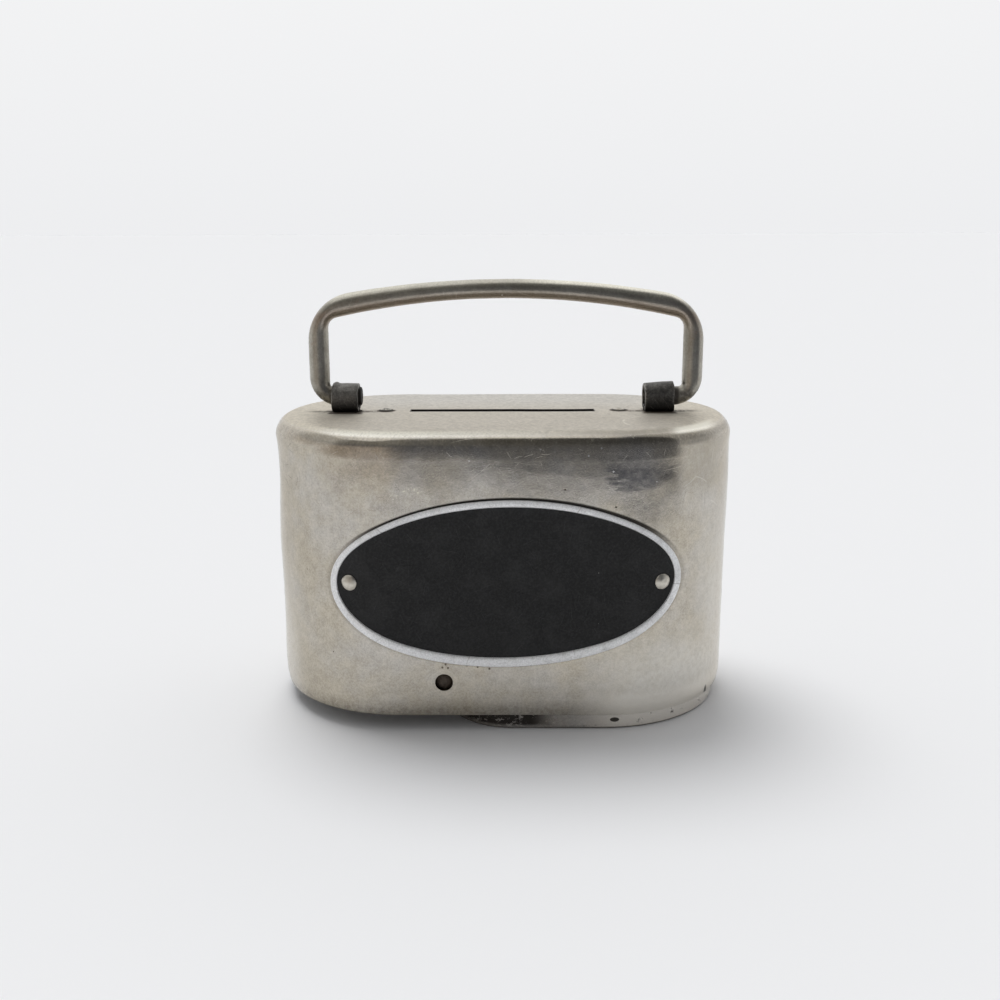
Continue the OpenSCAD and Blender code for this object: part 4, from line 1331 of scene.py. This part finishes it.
panLow, panHigh = cornersOf("bottom_pan")
pan = {
    "radius": panHigh.y,
    "right": panHigh.x - panHigh.y,
    "left": -(panLow.x + panHigh.y),
    "sheet": 0.9,
    "skirt": 10.0,
    "tail": 4.5,
    "footLeft": 12.0,
    "footCorner": 14.0,
    "edge": 0.65,
    "ear": 7.4,
    "notch": (46.5, 4.75),
    "plug": (24.0, 8.1),
    "rivets": ((17.6, 40.4), 8.4, 2.0),
    "pinBore": 3.9,
}
panFinish = {
    **nickel,
    "warm": (0.50, 0.46, 0.41),
    "cool": (0.43, 0.415, 0.40),
    "scuff": (0.62, 0.6, 0.56),
    "pale": (0.93, 0.89, 0.82),
    "crust": (0.022, 0.018, 0.015),
    "rustAndPaintedContactShadow": (0.07, 0.05, 0.04),
}


def paintPan(look):
    material, tree = newPaint("panSteel")
    place, flat, colour, rough, metal, relief = nickelBase(tree, look)
    x, y, z = (place.axis(name) for name in "XYZ")
    onFront = y.fade(-20, -25)
    crust = cloud(place, 1.1, 5, 0.78, stretch=(1.5, 1, 0.8), shift=31)
    reach = x.fade(-13, -8) * x.fade(13, 6)
    corroded = reach * onFront * z.fade(0.3, 1.3) * crust.fade(0.425, 0.455)
    lonely = blotch(x, z, (24.2, 2.1), 1.0, 0.5, 0.15) * onFront * crust.fade(0.36, 0.42)
    scattered = cloud(place, 2.4, 5, 0.7, shift=17).fade(0.62, 0.70) * 0.8
    under = z.fade(0.5, 0.05)
    scuffed = under * strokes(flat, 6, 0.25, 0.7, 0.1, 1.1).most(strokes(place, 4, 0.2, 0.7, 0.2, 4.4))
    black = corroded.most(lonely).most(scattered)
    # painted shade: the pan darker toward the top, under the shell's rim
    colour = colour.tint(scuffed * 0.5, look["scuff"]).shade(1 - z.fade(1.2, 4.5) * 0.25)
    # painted light: the right part of the pan painted paler
    colour = colour.tint(x.fade(12, 28) * 0.85, look["pale"])
    colour = colour.tint(black * 0.93, look["crust"])
    # rust along the lower edge, and a painted contact shadow on its lowest half millimetre
    rustAndPaintedContactShadow = (z.fade(1.4, 0.3) * crust.fade(0.55, 0.7) * 0.6).most(z.fade(0.55, 0.15) * 0.85)
    colour = colour.tint(rustAndPaintedContactShadow, look["rustAndPaintedContactShadow"])
    rough = (rough + black * 0.35 + rustAndPaintedContactShadow * 0.3).least(0.95)
    metal = (metal - rustAndPaintedContactShadow * 0.3).most(0.0)
    sockets = {"Base Color": colour, "Roughness": rough, "Metallic": metal}
    return finishPaint(material, tree, sockets, relief + black * 0.9, 0.06)


def panPlan(look, inset):
    return ovalRing(look["radius"] - inset, look["left"], look["right"], 0, 16, 32)


def footPlan(look, inset):
    r, corner = look["radius"], look["footCorner"]
    start = corner - look["footLeft"]
    flat = [(start + (look["right"] - start) * i / 10, inset - r) for i in range(10)]
    flat += arc((look["right"], 0), r - inset, -90, 90, 32)[:-1]
    flat += [(look["right"] - (look["right"] - start) * i / 10, r - inset) for i in range(10)]
    flat += arc((start, r - corner), corner - inset, 90, 180, 12)[:-1]
    flat += [(start - corner + inset, (r - corner) * (1 - 2 * i / 12)) for i in range(12)]
    flat += arc((start, corner - r), corner - inset, 180, 270, 12)[:-1]
    return [(x, y, 0) for x, y in flat]


# A solid prism over a plan, with a rounded lower edge
def cup(name, plan, look, low, high, inset, edge):
    rings = []
    for a in (0, 15, 30, 45, 60, 75, 90):
        sweep = math.radians(a)
        rings.append((inset + edge - edge * math.sin(sweep), low + edge - edge * math.cos(sweep)))
    rings += [(inset, low + edge + (high - low - edge) * k / 3) for k in (1, 2, 3)]
    return ringPiece(name, [[(x, y, z) for x, y, _ in plan(look, d)] for d, z in rings])


def makePan(look):
    sheet, skirt, tail = look["sheet"], look["skirt"], look["tail"]
    piece = cup("bottomPan", panPlan, look, tail, skirt, 0, look["edge"])
    foot = cup("foot", footPlan, look, 0, skirt, 0, look["edge"])
    (earX, earZ), ear, r = shell["pin"], look["ear"], look["radius"]
    combine(piece, "UNION", foot)
    for side in (-1, 1):
        inner, outer = sorted((side * (r - sheet), side * r))
        combine(piece, "UNION", rodShape((earX, inner, earZ), (earX, outer, earZ), ear))
        below = blockShape((earX - ear / 2, inner, skirt - 1), (earX + ear / 2, outer, earZ))
        combine(piece, "UNION", below)
    inside = cup("inside", panPlan, look, tail + sheet, skirt + 1, sheet, 0.5)
    insideFoot = cup("insideFoot", footPlan, look, sheet, skirt + 1, sheet, 0.6)
    combine(piece, "DIFFERENCE", inside, insideFoot)
    notchX, notchY = look["notch"]
    cuts = [blockShape((-60, -notchY, 0), (-notchX, notchY, skirt + 1)),
            rodShape((earX, -40, earZ), (earX, 40, earZ), look["pinBore"])]
    plugX, plugD = look["plug"]
    cuts.append(rodShape((plugX, 0, -1), (plugX, 0, sheet + 1), plugD))
    rivetPlaces, rivetSide, shank = look["rivets"]
    for x in rivetPlaces:
        for y in (-rivetSide, rivetSide):
            cuts.append(rodShape((x, y, -0.01), (x, y, sheet + 0.4), shank + 1.42, shank - 0.9))
    return combine(piece, "DIFFERENCE", *cuts)


panPiece = boxWrap(makePan(pan))
smooth(panPiece, 35)
dress(panPiece, "pan", "pan_steel", ["bottom_pan"], paintPan(panFinish))
print("pan made,", len(panPiece.data.vertices), "points")


# Pieces inside: copies of the frame's shapes with their edges broken

inner = {
    "steel": {"colour": (0.36, 0.345, 0.32), "dark": (0.15, 0.13, 0.11), "rough": 0.36, "spots": 0.5},
    "brass": {"colour": (0.60, 0.44, 0.20), "dark": (0.22, 0.13, 0.06), "rough": 0.30, "spots": 0.3},
    "spring": {"colour": (0.16, 0.18, 0.25), "dark": (0.07, 0.06, 0.06), "rough": 0.28, "spots": 0.2},
    "rivet": {"colour": (0.50, 0.475, 0.43), "dark": (0.17, 0.14, 0.11), "rough": 0.33, "spots": 0.4},
}
copies = [  # node, body, slot, finish, width of the broken edge
    ("slot_guard", "shell", "inner_steel", "steel", 0.12),
    ("flap_pin", "shell", "inner_steel", "steel", 0.10),
    ("guard_flap", "flap", "inner_steel", "steel", 0.10),
    ("stop_strap", "shell", "inner_steel", "steel", 0.14),
    ("keeper", "shell", "inner_steel", "steel", 0.14),
    ("lock_case", "pan", "inner_steel", "steel", 0.14),
    ("lock_cover", "pan", "inner_steel", "steel", 0.14),
    ("lock_rivets", "pan", "rivet_nickel", "rivet", 0.05),
    ("lock_plug", "plug", "plug_brass", "brass", 0.12),
    ("lock_bolt", "bolt", "inner_steel", "steel", 0.12),
    ("bolt_spring", "pan", "spring_steel", "spring", 0.06),
]


def paintInner(name, look):
    material, tree = newPaint(name)
    place = millimetres(tree)
    flat = unrolled(tree)
    grain = cloud(place, 0.4, 3, 0.65)
    patches = cloud(place, 4, 4, 0.65, shift=3)
    rolled = cloud(flat, 0.5, 3, 0.6, stretch=(24, 1, 1))
    lines = strokes(flat, 3.0, 0.07, 0.5, 0.2)
    colour = place.colour(look["colour"])
    colour = colour.tint(patches.fade(0.5, 0.72) * look["spots"], look["dark"])
    colour = colour.shade(0.78 + grain * 0.2 + rolled * 0.22)
    colour = colour.tint(lines * 0.3, [min(1.0, c * 1.5) for c in look["colour"]])
    rough = look["rough"] + patches * 0.14 + rolled * 0.06
    relief = grain * 0.3 + rolled * 0.3 - lines * 0.2
    metal = 1 - patches.fade(0.58, 0.75) * look["spots"]
    sockets = {"Base Color": colour, "Roughness": rough, "Metallic": metal}
    return finishPaint(material, tree, sockets, relief, 0.04)


def brokenEdges(node, width):
    name = "".join(word.capitalize() for word in node.split("_"))
    mesh = bmesh.new()
    mesh.from_mesh(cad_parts[node].data)
    bmesh.ops.remove_doubles(mesh, verts=mesh.verts, dist=1e-6)
    bmesh.ops.dissolve_limit(mesh, angle_limit=math.radians(0.5), verts=mesh.verts, edges=mesh.edges)
    piece = pieceFrom("made" + name, mesh)
    step = piece.modifiers.new("edge", "BEVEL")
    step.width = width * mm
    step.segments = 2
    step.limit_method = "ANGLE"
    step.angle_limit = math.radians(35)
    step.harden_normals = False
    return smooth(boxWrap(applied(piece)), 40)


innerPaints = {key: paintInner("inner" + key.capitalize(), look) for key, look in inner.items()}
for node, body, slot, finish, width in copies:
    dress(brokenEdges(node, width), body, slot, [node], innerPaints[finish])
print("inner pieces made")
